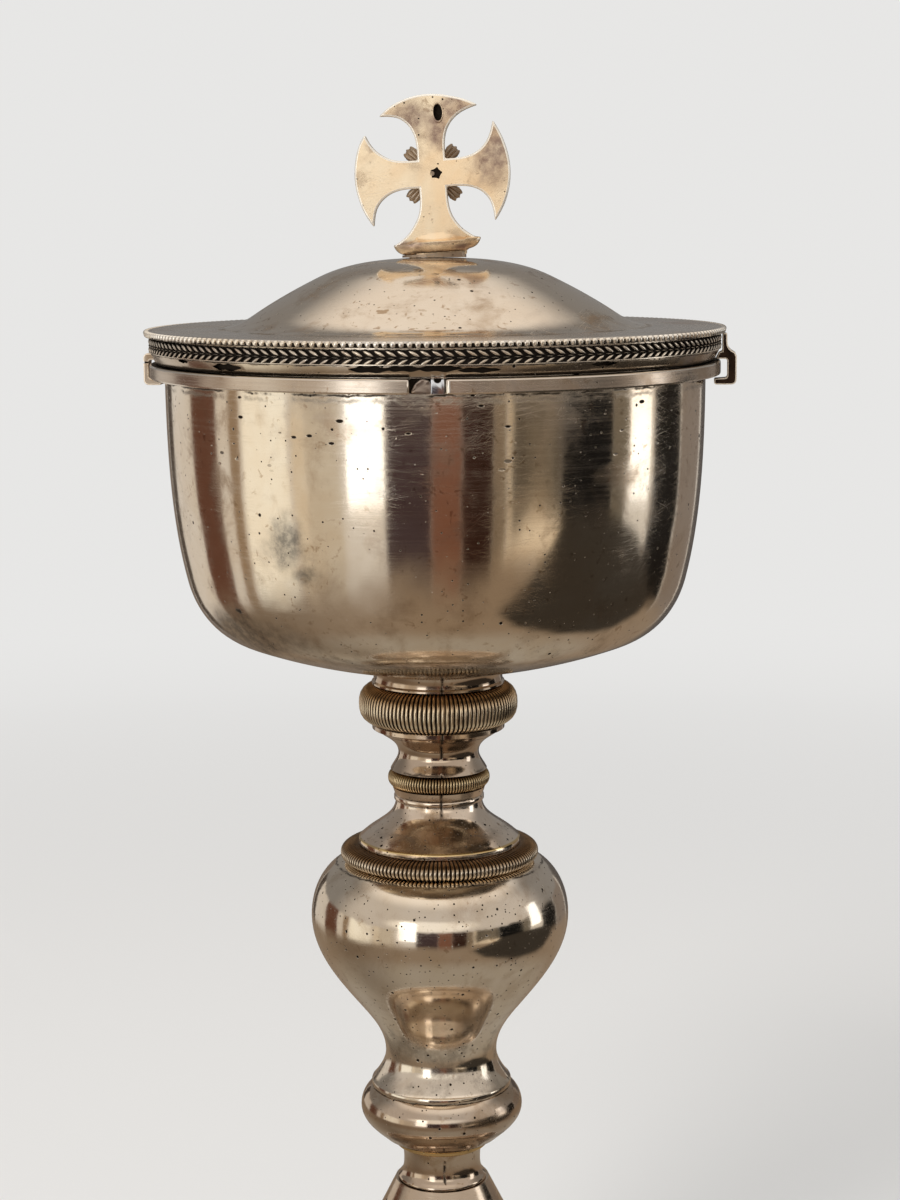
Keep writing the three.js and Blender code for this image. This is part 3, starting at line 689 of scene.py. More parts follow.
knop_silver = old_silver(
    "worn_silver_knop", polish=0.08, brush=0.5, marks=0.4, pits=2.8, brown=0.45, grey=0.15, waves=0.4,
    tint=(0.86, 0.76, 0.64), warm=(0.79, 0.67, 0.52),
    shade_and_soot=[(130.3, 0.25, 0.9), (77.2, 0.3, 0.9), (86.0, 9.0, 0.4)],
)
flare_silver = old_silver(
    "worn_silver_flare", polish=0.10, brush=0.5, marks=0.5, pits=3.2, brown=1.0, grey=0.4, waves=0.5,
    tint=(0.92, 0.80, 0.67), warm=(0.80, 0.63, 0.48),
    shade_and_soot=[(146.3, 0.3, 0.8), (144.9, 0.3, 0.8), (135.3, 0.5, 0.9), (138.8, 1.2, 0.35)],
    gilded=(135.95, 136.35), seam=STEM_SEAM,
)
knob_silver = old_silver(
    "worn_silver_knob", polish=0.09, brush=0.5, marks=0.5, pits=2.8, brown=0.65, waves=0.5,
    tint=(0.69, 0.58, 0.47), warm=(0.60, 0.46, 0.34),
    shade_and_soot=[(77.3, 0.4, 0.9), (68.0, 1.0, 0.5), (64.6, 0.4, 0.9)], gilded=(62.5, 63.6),
)
foot_silver = old_silver(
    "worn_silver_foot", polish=0.12, brush=0.9, marks=0.8, pits=0.8, brown=0.5,
    tint=(0.70, 0.58, 0.46), warm=(0.62, 0.48, 0.35),
    shade_and_soot=[(19.9, 0.5, 0.9), (7.6, 0.5, 0.9), (5.0, 0.5, 0.9)],
)
cover_silver = old_silver(
    "worn_silver_cover", polish=0.08, brush=0.7, marks=2.0, pits=0.9, brown=0.9, grey=0.25, waves=0.3,
    tint=(0.80, 0.70, 0.58), warm=(0.74, 0.62, 0.49),
    shade_and_soot=[(252.6, 0.15, 0.7), (267.8, 0.4, 0.6)],
)
plate_silver = old_silver(
    "worn_silver_plate", polish=0.20, brush=0.8, marks=0.6, brown=0.3, grey=0.7, waves=0.4,
    tint=(0.66, 0.61, 0.56), warm=(0.58, 0.52, 0.46),
)
skirt_silver = old_silver(
    "worn_silver_skirt", polish=0.18, brush=0.6, marks=0.6, pits=0.9, brown=0.8, grey=0.7, waves=0.4,
    tint=(0.66, 0.56, 0.45), warm=(0.50, 0.40, 0.29),
    shade_and_soot=[(247.55, 0.25, 0.95)],
)
band_silver = old_silver(
    "worn_silver_band", polish=0.20, brush=0.8, marks=0.8, pits=0.3, brown=0.6, grey=0.5, waves=0.3,
    tint=(0.66, 0.56, 0.46), warm=(0.58, 0.46, 0.36),
)
# Pale bevels and ends: rubbed wear with a painted highlight.
edge_highlight_silver = old_silver(
    "rubbed_silver_edge_highlight", polish=0.16, brush=0.4, marks=0.4, pits=0.1, brown=0.2, grey=0.1, waves=0.2,
    tint=(0.92, 0.84, 0.74), warm=(0.88, 0.78, 0.66),
)
solder_silver = old_silver(
    "rough_solder", polish=0.34, brush=0.2, marks=0.4, pits=1.6, brown=1.0, grey=0.8, waves=0.8,
    tint=(0.40, 0.33, 0.28), warm=(0.26, 0.19, 0.14),
)
lug_silver = old_silver(
    "bluish_silver_lug", polish=0.16, brush=0.4, marks=0.5, pits=0.6, brown=0.2, grey=0.4, waves=0.3,
    tint=(0.70, 0.72, 0.76), warm=(0.62, 0.62, 0.64),
)
hook_silver = old_silver(
    "worn_silver_hook", polish=0.34, brush=0.2, marks=0.6, pits=0.9, brown=1.0, grey=0.8, waves=0.4,
    tint=(0.42, 0.34, 0.26), warm=(0.30, 0.22, 0.16),
)
# The hooks' bevels: rubbed wear with a painted highlight.
hook_edge_highlight = old_silver(
    "rubbed_hook_edge_highlight", polish=0.30, brush=0.2, marks=0.4, pits=0.3, brown=0.5, grey=0.2, waves=0.2,
    tint=(0.95, 0.82, 0.66), warm=(0.88, 0.72, 0.54),
    metallic=0.2,
)
# Painted shade for the right hook's faces, which stand in shadow.
hook_shade_dark = dull_metal("painted_shade_on_hook", (0.050, 0.030, 0.020), (0.020, 0.013, 0.010), 0.25)
# The beads' near-white tint is a painted highlight over worn silver; the band at their foot is painted
# shade.
bead_highlight_silver = old_silver(
    "worn_silver_beads_highlight", polish=0.12, brush=0.0, marks=0.2, pits=0.3, brown=0.5, waves=0.1,
    tint=(1.0, 0.94, 0.85), warm=(0.90, 0.78, 0.62),
    shade_and_soot=[(251.2, 0.4, 1.0)], metallic=0.9,
)
cross_gilt = old_silver(
    "worn_pale_gilt", polish=0.21, brush=0.0, marks=1.6, pits=1.1, brown=0.6, grey=0.15, waves=0.35,
    tint=(0.97, 0.81, 0.59), warm=(0.96, 0.69, 0.42), smudge_tint=(0.20, 0.115, 0.10),
    smudges=[
        (-74.0, 4.2, 298.3, 10.0, 9.0), (76.0, 4.7, 300.7, 9.0, 6.0), (60.0, 1.3, 295.0, 7.0, 9.0),
        (85.0, 12.9, 290.0, 13.0, 14.0), (-77.0, 5.1, 270.4, 8.0, 2.4), (79.0, 6.0, 270.0, 6.0, 1.6),
        (-85.0, 13.7, 292.5, 3.0, 4.0),
    ],
    shade_and_soot=[(268.9, 0.5, 0.7), (270.6, 0.5, 0.3)], metallic=0.85,
)
# The cross's bevels: rubbed wear with a painted highlight.
cross_edge_highlight = old_silver(
    "rubbed_pale_gilt_edge_highlight", polish=0.24, brush=0.0, marks=0.4, pits=0.2, brown=0.2, grey=0.0, waves=0.2,
    tint=(1.0, 0.94, 0.84), warm=(0.97, 0.88, 0.74),
    metallic=0.55,
)
rosette_gilt = old_silver(
    "worn_pale_gilt_rosette",
    polish=0.30, brush=0.0, marks=0.3, pits=0.6, brown=0.8, grey=0.5, waves=0.2,
    tint=(0.44, 0.35, 0.26), warm=(0.20, 0.14, 0.095),
)
# Painted shade for hollows, holes, gaps and the undersides of overhangs.
hollow_shade_black = dull_metal("painted_shade_in_a_hollow", (0.035, 0.027, 0.020), BLACK, 0.5)
steel = dull_metal("dull_steel", (0.33, 0.31, 0.29), (0.16, 0.11, 0.08))


def redress_node(node, material):
    dress(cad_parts[node], material)


# Foot
turn_cup_piece(
    "foot_ring_turned",
    [
        (55.0, 0.0), (58.9, 0.0), (59.6, 0.25), (60.0, 0.9), (60.0, 2.6), (59.6, 3.3), (58.9, 3.6),
        (57.6, 3.8), (57.2, 4.2), (57.2, 5.0), (55.0, 5.0),
    ],
    foot_silver, "foot_ring",
)
turn_cup_piece(
    "foot_turned",
    [
        (57.2, FOOT_SEAT), (57.2, 6.0), (57.0, 6.25), (51.9, 7.15), (51.6, 7.4),
        *round_outline([station(51.6, 8.2, 95), station(39.6, 19.7, 172, 14)]),
        (39.1, 19.75), (38.6, 20.0),
        *round_outline([station(38.3, 20.1, 160), station(10.9, 54.0, 117, 26)]),
        (3.4, 54.0), (3.4, 52.8),
        *round_outline([station(10.2, 52.8, -63), station(35.1, 19.7, -20, 20)]),
        *round_outline([station(39.6, 18.5, -8), station(50.4, 8.2, -85, 12)]),
        (50.4, 6.0), (56.0, 5.0),
    ],
    foot_silver, "foot_cushion", "foot_shell",
)
for node in ("foot_washer", "foot_nut", "tie_rod", "bowl_boss", "cross_washer", "cross_nut"):
    redress_node(node, steel)

# Stem
turn_cup_piece(
    "neck_ring_turned",
    lift([
        (3.4, 0.0), (9.9, 0.0), (10.3, 0.2), (10.3, 0.6),
        *round_outline([station(10.1, 0.9, 140, 3), station(8.9, 4.8, 90), station(9.4, 8.6, 75, 5)]),
        (3.4, 8.6),
    ], NECK),
    stem_silver, "neck_ring", steps=STEM_STEPS,
)
turn_cup_piece(
    "lower_knob_turned",
    lift([
        (3.4, 0.0), (10.5, 0.0), (10.7, 0.2), (10.7, 0.8), (10.9, 1.0), (12.7, 1.9), (13.0, 2.2),
        *round_outline([
            station(13.5, 2.4, 42), station(18.75, 9.5, 90, 14), station(16.2, 14.3, 145, 8),
        ]),
        (16.0, 14.4), (14.2, 14.4), (14.2, 9.5), (10.7, 3.7), (3.4, 1.5),
    ], KNOB),
    knob_silver, "lower_knob", steps=STEM_STEPS,
)
knop_stations = [
    station(15.9, 1.45, 127),
    station(12.85, 8.2, 90, 10),
    station(20.0, 21.7, 51, 12),
    station(29.6, 41.0, 90, 16),
    station(23.2, 53.6, 150, 14),
]
turn_cup_piece(
    "knop_turned",
    lift([
        (14.6, 0.0), (15.9, 0.0), (16.15, 0.1), (16.2, 0.35), (16.2, 1.1), (16.1, 1.35),
        *round_outline(knop_stations), (13.5, 53.6), (13.5, 52.3),
        *reversed(round_outline(inset(knop_stations, 1.3))),
    ], KNOP),
    knop_silver, "knop_lower", "knop_upper",
)
turn_cup_piece(
    "stem_flare_turned",
    lift([
        (14.4, 0.0), (18.1, 0.0), (18.1, 4.3), (18.4, 4.3), (18.55, 4.45), (18.55, 5.35), (18.45, 5.6),
        *round_outline([station(18.2, 5.75, 135), station(9.9, 14.4, 92, 16)]),
        (10.2, 14.45), (10.3, 14.6), (10.3, 15.4), (10.2, 15.55), (10.05, 15.65), (10.6, 17.4),
        (9.15, 17.4), (9.15, 21.6), (3.4, 21.6), (3.4, 15.9), (14.4, 4.3),
    ], LOWER_RING),
    flare_silver, "stem_flare", steps=STEM_STEPS,
)
turn_cup_piece(
    "stem_waist_turned",
    lift([
        (3.4, 0.0),
        *round_outline([station(11.0, 0.0, 115), station(9.2, 3.9, 90), station(14.45, 9.4, 38, 10)]),
        (14.9, 9.45), (15.1, 9.6), (15.1, 10.5), (14.95, 10.7), (13.2, 10.7), (13.2, 19.8),
        (10.4, 19.8), (10.4, 10.7), (3.4, 5.3),
    ], WAIST),
    stem_silver, "stem_waist", steps=STEM_STEPS,
)
turn_cup_piece(
    "bowl_collar_turned",
    lift([
        (9.0, 0.0), (14.9, 0.0), (15.1, 0.15), (15.1, 0.55), (14.9, 0.75),
        *round_outline([station(14.7, 0.95, 100), station(15.6, 4.0, 55, 6)]),
        (9.0, 4.0),
    ], COLLAR),
    stem_silver, "bowl_collar", steps=STEM_STEPS,
)


# Reeded rings


def reeded_ring(name, bore, radius, height, level, ribs, depth, fullness):
    """A bulging ring whose surface is sunk between upright ribs. Four upright lines draw
    each rib: its crest, the hollow beside it and one on either slope of that."""
    piece = turned(name, half_round(bore, radius, height, level, fullness, 12), ribs * 4)
    share = FULL_TURN / ribs
    for sink, quarters in ((depth, (2,)), (depth * 0.32, (1, 3))):

        def sunk(place):
            if math.hypot(place.x, place.y) < bore + depth:
                return False
            turn = (math.atan2(place.x, -place.y) / share) % 1.0
            return round(turn * 4) % 4 in quarters

        factor = (radius - sink) / radius
        shape(piece, sunk, (factor, factor, 1 - sink / height), center=(0, 0, level + height / 2))
    smooth(piece, 80)
    return piece


RIB_DEPTH = 0.42
# Low tints carry a painted highlight and top tints painted shade, over each ring's gilding.
for name, bore, radius, height, level, ribs, fullness, low_highlight_tint, top_shade_tint in (
    ("lower", 18.25, 22.7, 4.3, LOWER_RING, 142, 2.4, (1.0, 0.88, 0.70), (0.32, 0.19, 0.09)),
    ("middle", 9.3, 11.65, 4.2, MIDDLE_RING, 104, 2.2, (0.98, 0.79, 0.50), (0.38, 0.26, 0.12)),
    ("upper", 13.35, 18.1, 9.1, UPPER_RING, 108, 2.5, (1.0, 0.86, 0.64), (0.58, 0.38, 0.20)),
):
    node = "reeded_ring_" + name
    ring = reeded_ring(node + "_ribbed", bore, radius, height, level, ribs, RIB_DEPTH, fullness)
    gilt = ribbed_gilt("worn_gilt_" + name, ribs, level, height, low_highlight_tint, top_shade_tint, STEM_SEAM)
    dress(ring, gilt)
    place_piece(ring, "cup", "gilt", node)

# Bowl
bowl_stations = [
    station(15.9, 0.0, 8),
    station(45.15, 7.4, 21, 16),
    station(55.95, 20.7, 76, 16),
    station(59.95, 60.0, 89, 16),
    station(59.95, 74.9, 90, 6),
]
turn_cup_piece(
    "bowl_raised",
    lift([
        (0.0, 0.0), *round_outline(bowl_stations), (59.8, 75.15), (59.0, 75.15), (58.75, 74.9),
        *reversed(round_outline(inset(bowl_stations, 1.2))), (0.0, 1.2),
    ], BOWL),
    bowl_silver, "bowl",
)

# Two part band of the turning lock, with its lugs. Angles run counterclockwise from +X.
GAP_ANGLE = -91.49
GAP_WIDTH = 7.1
BAND_RADIUS = 63.3
BAND_UNDER = BAND_TOP - 3.0
half_gap = math.asin(GAP_WIDTH / 2 / 61.7)
for side, turn in (("right", 0), ("left", 180)):
    start = math.radians(GAP_ANGLE + turn) + half_gap
    band = turned(
        "lock_band_" + side + "_bent",
        [(60.1, BAND_UNDER), (BAND_RADIUS, BAND_UNDER), (BAND_RADIUS, BAND_TOP), (60.1, BAND_TOP)],
        90, start, math.pi - 2 * half_gap,
    )
    dress(band, band_silver, edge_highlight_silver, hollow_shade_black)
    begin_edit(band)
    bpy.ops.mesh.select_mode(type="EDGE")
    net = bmesh.from_edit_mesh(band.data)
    middle = Vector((math.cos(start), math.sin(start)))
    for edge in net.edges:
        a, b = (vertex.co / MM for vertex in edge.verts)
        is_upright = abs(a.z - b.z) > 1
        is_outer = min(a.xy.length, b.xy.length) > BAND_RADIUS - 0.2
        if is_upright and is_outer and (a.xy.normalized() - middle).length < 0.02:
            edge.select = True
    bmesh.update_edit_mesh(band.data)
    bpy.ops.mesh.bevel(offset=1.0 * MM, segments=4, profile=0.6)
    end_edit()
    # The band's end takes the pale edge finish, a painted highlight over wear.
    finish_faces(band, 1, lambda at, normal: (at.xy - middle * BAND_RADIUS).length < 1.3)
    soften(band, 0.36, 2, 28, 1)
    # The band's inner top faces, under the skirt, take painted shade.
    finish_faces(band, 2, lambda at, normal: abs(normal.z) > 0.9 and at.xy.length < BAND_RADIUS - 0.5)
    smooth(band, 40)
    place_piece(band, "cup", "silver", "lock_band_" + side)

lumps = bpy.data.textures.new("lumps", "CLOUDS")
lumps.noise_scale = 0.9 * MM
for side, turn in (("front", 0), ("back", 180)):
    lug = put(block(), (61.45, 2.05, BAND_TOP - 1.5), (2.7, 2.7, 3.0))
    lug.name = "gap_lug_" + side + "_soldered"
    cut(lug, put(rod(0.75, 8.0), (61.5, 2.05, BAND_TOP), turn=(0, 90, 0)))
    soften(lug, 0.22, 3)
    put(lug, turn=(0, 0, GAP_ANGLE + turn))
    smooth(lug, 50)
    dress(lug, lug_silver)
    place_piece(lug, "cup", "silver", "gap_lug_" + side)
    flow = plate("solder_" + side, [
        (60.4, y, BAND_UNDER + z) for y, z in (
            (-3.3, 0.0), (0.9, 0.0), (0.9, 2.0), (-0.2, 3.1), (-1.5, 3.1), (-2.7, 1.9), (-3.3, 0.7),
        )
    ], 1.15, (1, 0, 0))
    soften(flow, 0.3, 2, 40)
    modify(flow, "SUBSURF", levels=2, render_levels=2)
    modify(flow, "DISPLACE", texture=lumps, texture_coords="GLOBAL", strength=0.5 * MM, mid_level=0.6)
    backing = plate("solder_backing", [
        (60.2, y, BAND_UNDER + z) for y, z in ((-3.5, 0.0), (3.5, 0.0), (3.5, 3.0), (-3.5, 3.0))
    ], 0.35, (1, 0, 0))
    dress(flow, solder_silver, hollow_shade_black)
    dress(backing, solder_silver, hollow_shade_black)
    # The backing seen through the gap takes painted shade all over.
    finish_faces(backing, 1)
    mass = join("solder_" + side, [flow, backing])
    put(mass, turn=(0, 0, GAP_ANGLE + turn))
    smooth(mass, 60)
    place_piece(mass, "cup", "silver")

# Cover, whose edge is flat from this radius on
FLAT_EDGE = 48.4
cover_stations = [
    station(49.0, 1.0, 180),
    station(40.5, 3.7, 146, 12),
    station(25.7, 12.1, 154, 12),
    station(1.8, 16.2, 179, 16),
]
cover = turned("cover_raised", lift([
    (63.0, 0.1), (63.0, 0.9), (62.9, 1.0), *round_outline(cover_stations),
    *reversed(round_outline(inset(cover_stations, 1.0))), (62.9, 0.0),
], PLATE_UNDER))
dress(cover, cover_silver, plate_silver)
finish_faces(cover, 1, lambda at, normal: at.xy.length > FLAT_EDGE)
place_piece(cover, "cover", "silver", "cover_shell")

skirt = turned("cover_skirt_turned", [
    (60.8, 245.3), (61.8, 245.3), (61.98, 245.45), (62.1, 245.7), (62.95, 247.4), (62.95, 247.6),
    (61.95, 247.65), (61.95, 251.5), (60.8, 251.5),
])
dress(skirt, skirt_silver, hollow_shade_black)
SKIRT_RADIUS = 62.5
# Torn holes, as first and last direction in degrees from the front, and their levels
TORN_HOLES = (
    (-16, -8, 246.3, 247.5),
    (-9.5, -2, 246.55, 247.6),
    (-3.5, 5, 246.5, 247.7),
    (4, 12, 246.2, 247.2),
    (-47, -39, 246.0, 247.3),
    (30, 36, 246.8, 247.6),
    (-59, -55, 246.9, 247.6),
    (150, 163, 246.3, 247.6),
    (-140, -134, 246.5, 247.5),
)
for first, last, low, high in TORN_HOLES:
    half_width = SKIRT_RADIUS * math.radians(last - first) / 2
    upper, lower = [], []
    for step in range(17):
        share = step / 8 - 1
        across = half_width * share
        middle = (low + high) / 2
        swell = (high - low) / 2 * (1.05 - abs(share) ** 3)
        above = swell * (1 + 0.20 * math.sin(1.1 * step + first))
        below = swell * (1 + 0.22 * math.sin(0.9 * step + last))
        upper.append((SKIRT_RADIUS - 1, across, middle + above))
        lower.append((SKIRT_RADIUS - 1, across, middle - below))
    torn = plate("torn_cutter", [*upper, *reversed(lower)], 2.4, (1, 0, 0))
    put(torn, turn=(0, 0, (first + last) / 2 - 90))
    dress(torn, skirt_silver, hollow_shade_black)
    # The walls of the torn holes take painted shade.
    finish_faces(torn, 1)
    cut(skirt, torn)
# The skirt's bottom faces take painted shade.
finish_faces(skirt, 1, lambda at, normal: at.z < 245.42)
smooth(skirt, 35)
place_piece(skirt, "cover", "silver", "cover_skirt")
redress_node("cover_bezel", skirt_silver)

# Row of beads on the edge of the cover
BEADS = 240
bead_level = PLATE_TOP - 0.68
bead = block()
begin_edit(bead)
bpy.ops.mesh.select_all(action="SELECT")
bpy.ops.mesh.bevel(offset=0.34 * MM, segments=3)
end_edit()
shape(bead, lambda place: place.z < 0, (0.84, 0.84, 1.0))
put(bead, (63.78, 0, bead_level), (1.42, 1.22, 1.34), (9, 0, 0))
repeat_round(bead, BEADS)
dress(bead, bead_highlight_silver)
backing = turned("bead_backing", lift([
    (62.95, -0.62), (63.5, -0.62), (63.65, -0.3), (63.65, 0.3), (63.4, 0.6), (62.95, 0.62),
], bead_level), BEADS)
dress(backing, hollow_shade_black, plate_silver)
# The backing between the beads takes painted shade; its upward faces take the plate's silver.
finish_faces(backing, 1, lambda at, normal: normal.z > 0.5)
beads = join("cover_beads", [bead, backing])
smooth(beads, 60)
place_piece(beads, "cover", "silver", "cover_bead_ring")

# Band of leaves that point round the rim
LEAVES = 173
leaf_level = 249.2
leaf_parts = []
for rise, tilt, length, height in (
    (0.78, -27, 3.7, 0.90),
    (-0.74, 27, 3.6, 0.80),
    (0.0, 0, 2.4, 0.30),
):
    part = ball(segments=8, rings=6)
    put(part, turn=(90, 0, 0))
    shape(part, lambda place: place.y > 0.1, (0.8, 1, 0.8))
    shape(part, lambda place: place.y > 0.3, (0.5, 1, 0.5))
    put(part, (62.95, 0, leaf_level + rise), (1.0, length, height), (tilt, 0, 0))
    leaf_parts.append(part)
leaf = join("leaf", leaf_parts)
repeat_round(leaf, LEAVES)
ground = turned("leaf_ground", [
    (62.1, 247.65), (63.2, 247.65), (63.35, 247.75), (63.35, 247.9), (63.2, 248.0), (62.75, 248.1),
    (62.75, 250.3), (62.85, 250.75), (62.1, 250.75),
])
leaves = join("cover_leaves", [leaf, ground])
smooth(leaves, 60)
# Proud leaves take a painted highlight and the ground between them painted shade with tarnish.
dress(leaves, carved_silver("worn_silver_leaves", 63.12, 63.46, (0.86, 0.75, 0.61)))
place_piece(leaves, "cover", "silver", "cover_leaf_band")


# Hooks of the lock
HOOK_WIDTH = 3.6


def hook(name, outside, inside, is_strapped):
    """A bar that runs down outside the band and turns in under it, on the +X side."""
    lip_top, lip_under = 241.15, 239.65
    shelf_under, shelf_top = 245.3, 246.8
    outline = [
        (61.85, lip_top - 0.15), *arc((62.4, lip_under + 0.55), 0.55, 180, 270, 3),
        *arc((outside - 1.1, lip_under + 1.1), 1.1, -90, 0),
    ]
    if is_strapped:
        outline += [
            (outside, shelf_under + 0.5),
            *curve_points(
                (outside - 0.1, shelf_under + 1.0), (outside - 0.6, shelf_under + 1.9),
                (64.85, shelf_under + 1.7), (64.7, shelf_under + 3.6), 8,
            ),
            (64.65, 250.9), (63.6, 250.99), (63.6, 247.0),
        ]
    else:
        outline += arc((outside - 1.1, shelf_top - 1.1), 1.1, 0, 90)
    outline += [
        (62.9, shelf_top), (62.15, shelf_under),
        *arc((inside - 0.5, shelf_under - 0.5), 0.5, 90, 0, 3),
        *arc((inside - 0.5, lip_top + 0.5), 0.5, 0, -90, 3),
    ]
    return plate(name, [(x, -HOOK_WIDTH / 2, z) for x, z in outline], HOOK_WIDTH, (0, 1, 0))


# The right hook's faces take painted shade; the bevels of both hooks take a painted highlight over wear.
for side, turn, outside, inside, materials in (
    ("right", -6, 66.77, 64.7, (hook_shade_dark, hook_edge_highlight, hollow_shade_black)),
    ("left", 174, 65.87, 64.65, (hook_silver, hook_edge_highlight, hollow_shade_black)),
):
    piece = hook("hook_" + side + "_bent", outside, inside, side == "right")
    dress(piece, *materials)
    soften(piece, 0.28, 2, 40, 1)
    if side == "left":
        for place, size in (
            ((outside + 0.6, 0, 244.75), (1.7, 5.0, 0.4)),
            ((outside, 2.0, 244.75), (4.0, 0.9, 0.4)),
            ((outside, -2.0, 244.75), (4.0, 0.9, 0.4)),
        ):
            groove = put(block(), place, size)
            dress(groove, *materials)
            # The walls of the left hook's grooves take painted shade.
            finish_faces(groove, 2)
            cut(piece, groove)
    smooth(piece, 50, True)
    put(piece, turn=(0, 0, turn))
    place_piece(piece, "cover", "silver", "hook_" + side)

# Cross, in its own upright plane, then leaned as it stands on the dome
CROSS_RADIUS = 17.2
CROSS_THICKNESS = 2.3
CROSS_FOOT = 268.56
CROSS_MIDDLE = CROSS_RADIUS + 0.3
ARM_SPREAD = 38.4
BAR_HALF = 3.05
CROSS_ASIDE = 0.75
CROSS_TURN = -4
CROSS_LEAN = -3.3
CROSS_PLACE = (
    Matrix.Translation((CROSS_ASIDE * MM, 0, CROSS_FOOT * MM))
    @ Matrix.Rotation(math.radians(CROSS_TURN), 4, "Z")
    @ Matrix.Rotation(math.radians(CROSS_LEAN), 4, "Y")
)


def lean(piece):
    """The piece goes with the cross to its place on the dome."""
    piece.matrix_world = CROSS_PLACE @ piece.matrix_world
    apply_place(piece)
    return piece


# Tips of the arms that are bent, as place and shift
BENT_TIPS = (
    ((-13.5, 10.7), (-0.8, -1.4)),
    ((-13.5, -10.7), (-0.6, 0.5)),
    ((13.5, 10.7), (0.5, -0.3)),
    ((10.7, 13.5), (0.0, 0.8)),
    ((-10.7, -13.5), (1.3, -2.0)),
    ((10.7, -13.5), (-0.9, -1.4)),
)


def bend_tips(x, z):
    bent_x, bent_z = x, z
    for (tip_x, tip_z), (shift_x, shift_z) in BENT_TIPS:
        share = max(0.0, 1 - math.hypot(x - tip_x, z - tip_z) / 7) ** 1.3
        bent_x += shift_x * share
        bent_z += shift_z * share
    return bent_x, bent_z


def cross_outline():
    """The right arm's outline, repeated for the other three."""
    straight = 5.0
    spread = math.radians(ARM_SPREAD)
    tip = (CROSS_RADIUS * math.cos(spread), CROSS_RADIUS * math.sin(spread))
    pull = tip[0] - straight
    near_bar = (straight + pull * 0.62, BAR_HALF)
    near_tip = (tip[0] - pull * 0.08, tip[1] - (tip[1] - BAR_HALF) * 0.72)
    flare = curve_points((straight, BAR_HALF), near_bar, near_tip, tip, 12)
    upper = [(BAR_HALF, BAR_HALF), (straight, BAR_HALF), *flare]
    lower = [(x, -z) for x, z in upper]
    arm = [*lower, *arc((0, 0), CROSS_RADIUS, -ARM_SPREAD, ARM_SPREAD, 20)[1:-1], *reversed(upper)]
    points = []
    for quarter in range(4):
        c, s = round(math.cos(quarter * math.pi / 2)), round(math.sin(quarter * math.pi / 2))
        points += [bend_tips(x * c - z * s, x * s + z * c) for x, z in arm[:-1]]
    return points


# The cross's bevels take a painted highlight over wear, and its slot and star holes take painted shade.
cross_finishes = (cross_gilt, cross_edge_highlight, hollow_shade_black)
cross = plate(
    "cross_cast",
    [(x, CROSS_THICKNESS / 2, z + CROSS_MIDDLE) for x, z in cross_outline()],
    CROSS_THICKNESS, (0, -1, 0),
)
dress(cross, *cross_finishes)
soften(cross, 0.68, 4, 50, 1)
foot = turned("cross_foot", [
    (0.0, -0.7), (6.5, -0.7), (6.6, 0.0), (7.2, 0.05),
    *curve_points((7.2, 0.05), (8.5, 0.3), (9.3, 0.9), (9.75, 2.1), 6), (9.75, 2.3), (9.6, 2.45),
    *curve_points((9.6, 2.45), (8.0, 2.7), (5.4, 3.2), (3.4, 5.0), 8), (0.0, 6.0),
], 64)
put(foot, (0, 0, 0.3), (1.0, 0.3, 1.0))
shape(foot, lambda place: place.x < -5, (1, 1, 1), (0.15, 0, -0.3))
shape(foot, lambda place: place.x > 6.5, (1, 1, 1), (0, 0, 0.35))
dress(foot, *cross_finishes)
cut(cross, foot, "UNION")
SLOT_PLACE = (2.1, -CROSS_THICKNESS / 2, CROSS_MIDDLE + 13.1)
slot = put(rod(1.0, 3.0, 40), SLOT_PLACE, (1.0, 2.1, 1.0), (90, 0, 0))
star_points = []
for i in range(10):
    reach = 1.4 if i % 2 == 0 else 1.0
    turn = math.radians(78 + i * 36)
    star_points.append((0.9 + reach * math.cos(turn), -0.5, reach * math.sin(turn) + CROSS_MIDDLE))
for cutter in (slot, plate("star_cutter", star_points, 2.0, (0, -1, 0))):
    dress(cutter, *cross_finishes)
    finish_faces(cutter, 2)
    cut(cross, cutter)
point_outwards(cross)
smooth(cross, 40, True)
lean(cross)
place_piece(cross, "cover", "pale_gilt", "cross")

deselect()
bpy.ops.mesh.primitive_torus_add(
    major_segments=48, minor_segments=10, major_radius=1.1 * MM, minor_radius=0.15 * MM,
)
slot_rim = put(bpy.context.object, SLOT_PLACE, (1.0, 1.9, 0.8), (90, 0, 0))
slot_rim.name = "cross_slot_rim"
smooth(slot_rim, 60)
dress(slot_rim, cross_gilt)
place_piece(lean(slot_rim), "cover", "pale_gilt")

# Rosette on the far side of the cross. A petal is a leaf with three ridges, each given
# by its slant in degrees, width, depth and length.
ridges = []
for slant, width, depth, length in (
    (0, 3.0, 0.9, 6.1),
    (0, 1.2, 1.4, 6.3),
    (-8, 1.2, 1.3, 6.2),
    (8, 1.2, 1.3, 6.2),
):
    ridge = ball(segments=14, rings=10)
    put(ridge, scale=(width, depth, length))
    shape(ridge, lambda place: place.z > 1.5, (1.35, 1, 1))
    shape(ridge, lambda place: place.z < 0, (0.6, 1, 1))
    put(ridge, (0, 0, 1.6 + length / 2))
    ridges.append(put(ridge, turn=(0, slant, 0)))
rosette = join("cross_rosette_cast", ridges)
repeat_round(rosette, 8, axis=1)
put(rosette, (0, CROSS_THICKNESS / 2 + 0.75, CROSS_MIDDLE))
smooth(rosette, 60)
dress(rosette, rosette_gilt)
place_piece(lean(rosette), "cover", "pale_gilt", "cross_rosette")

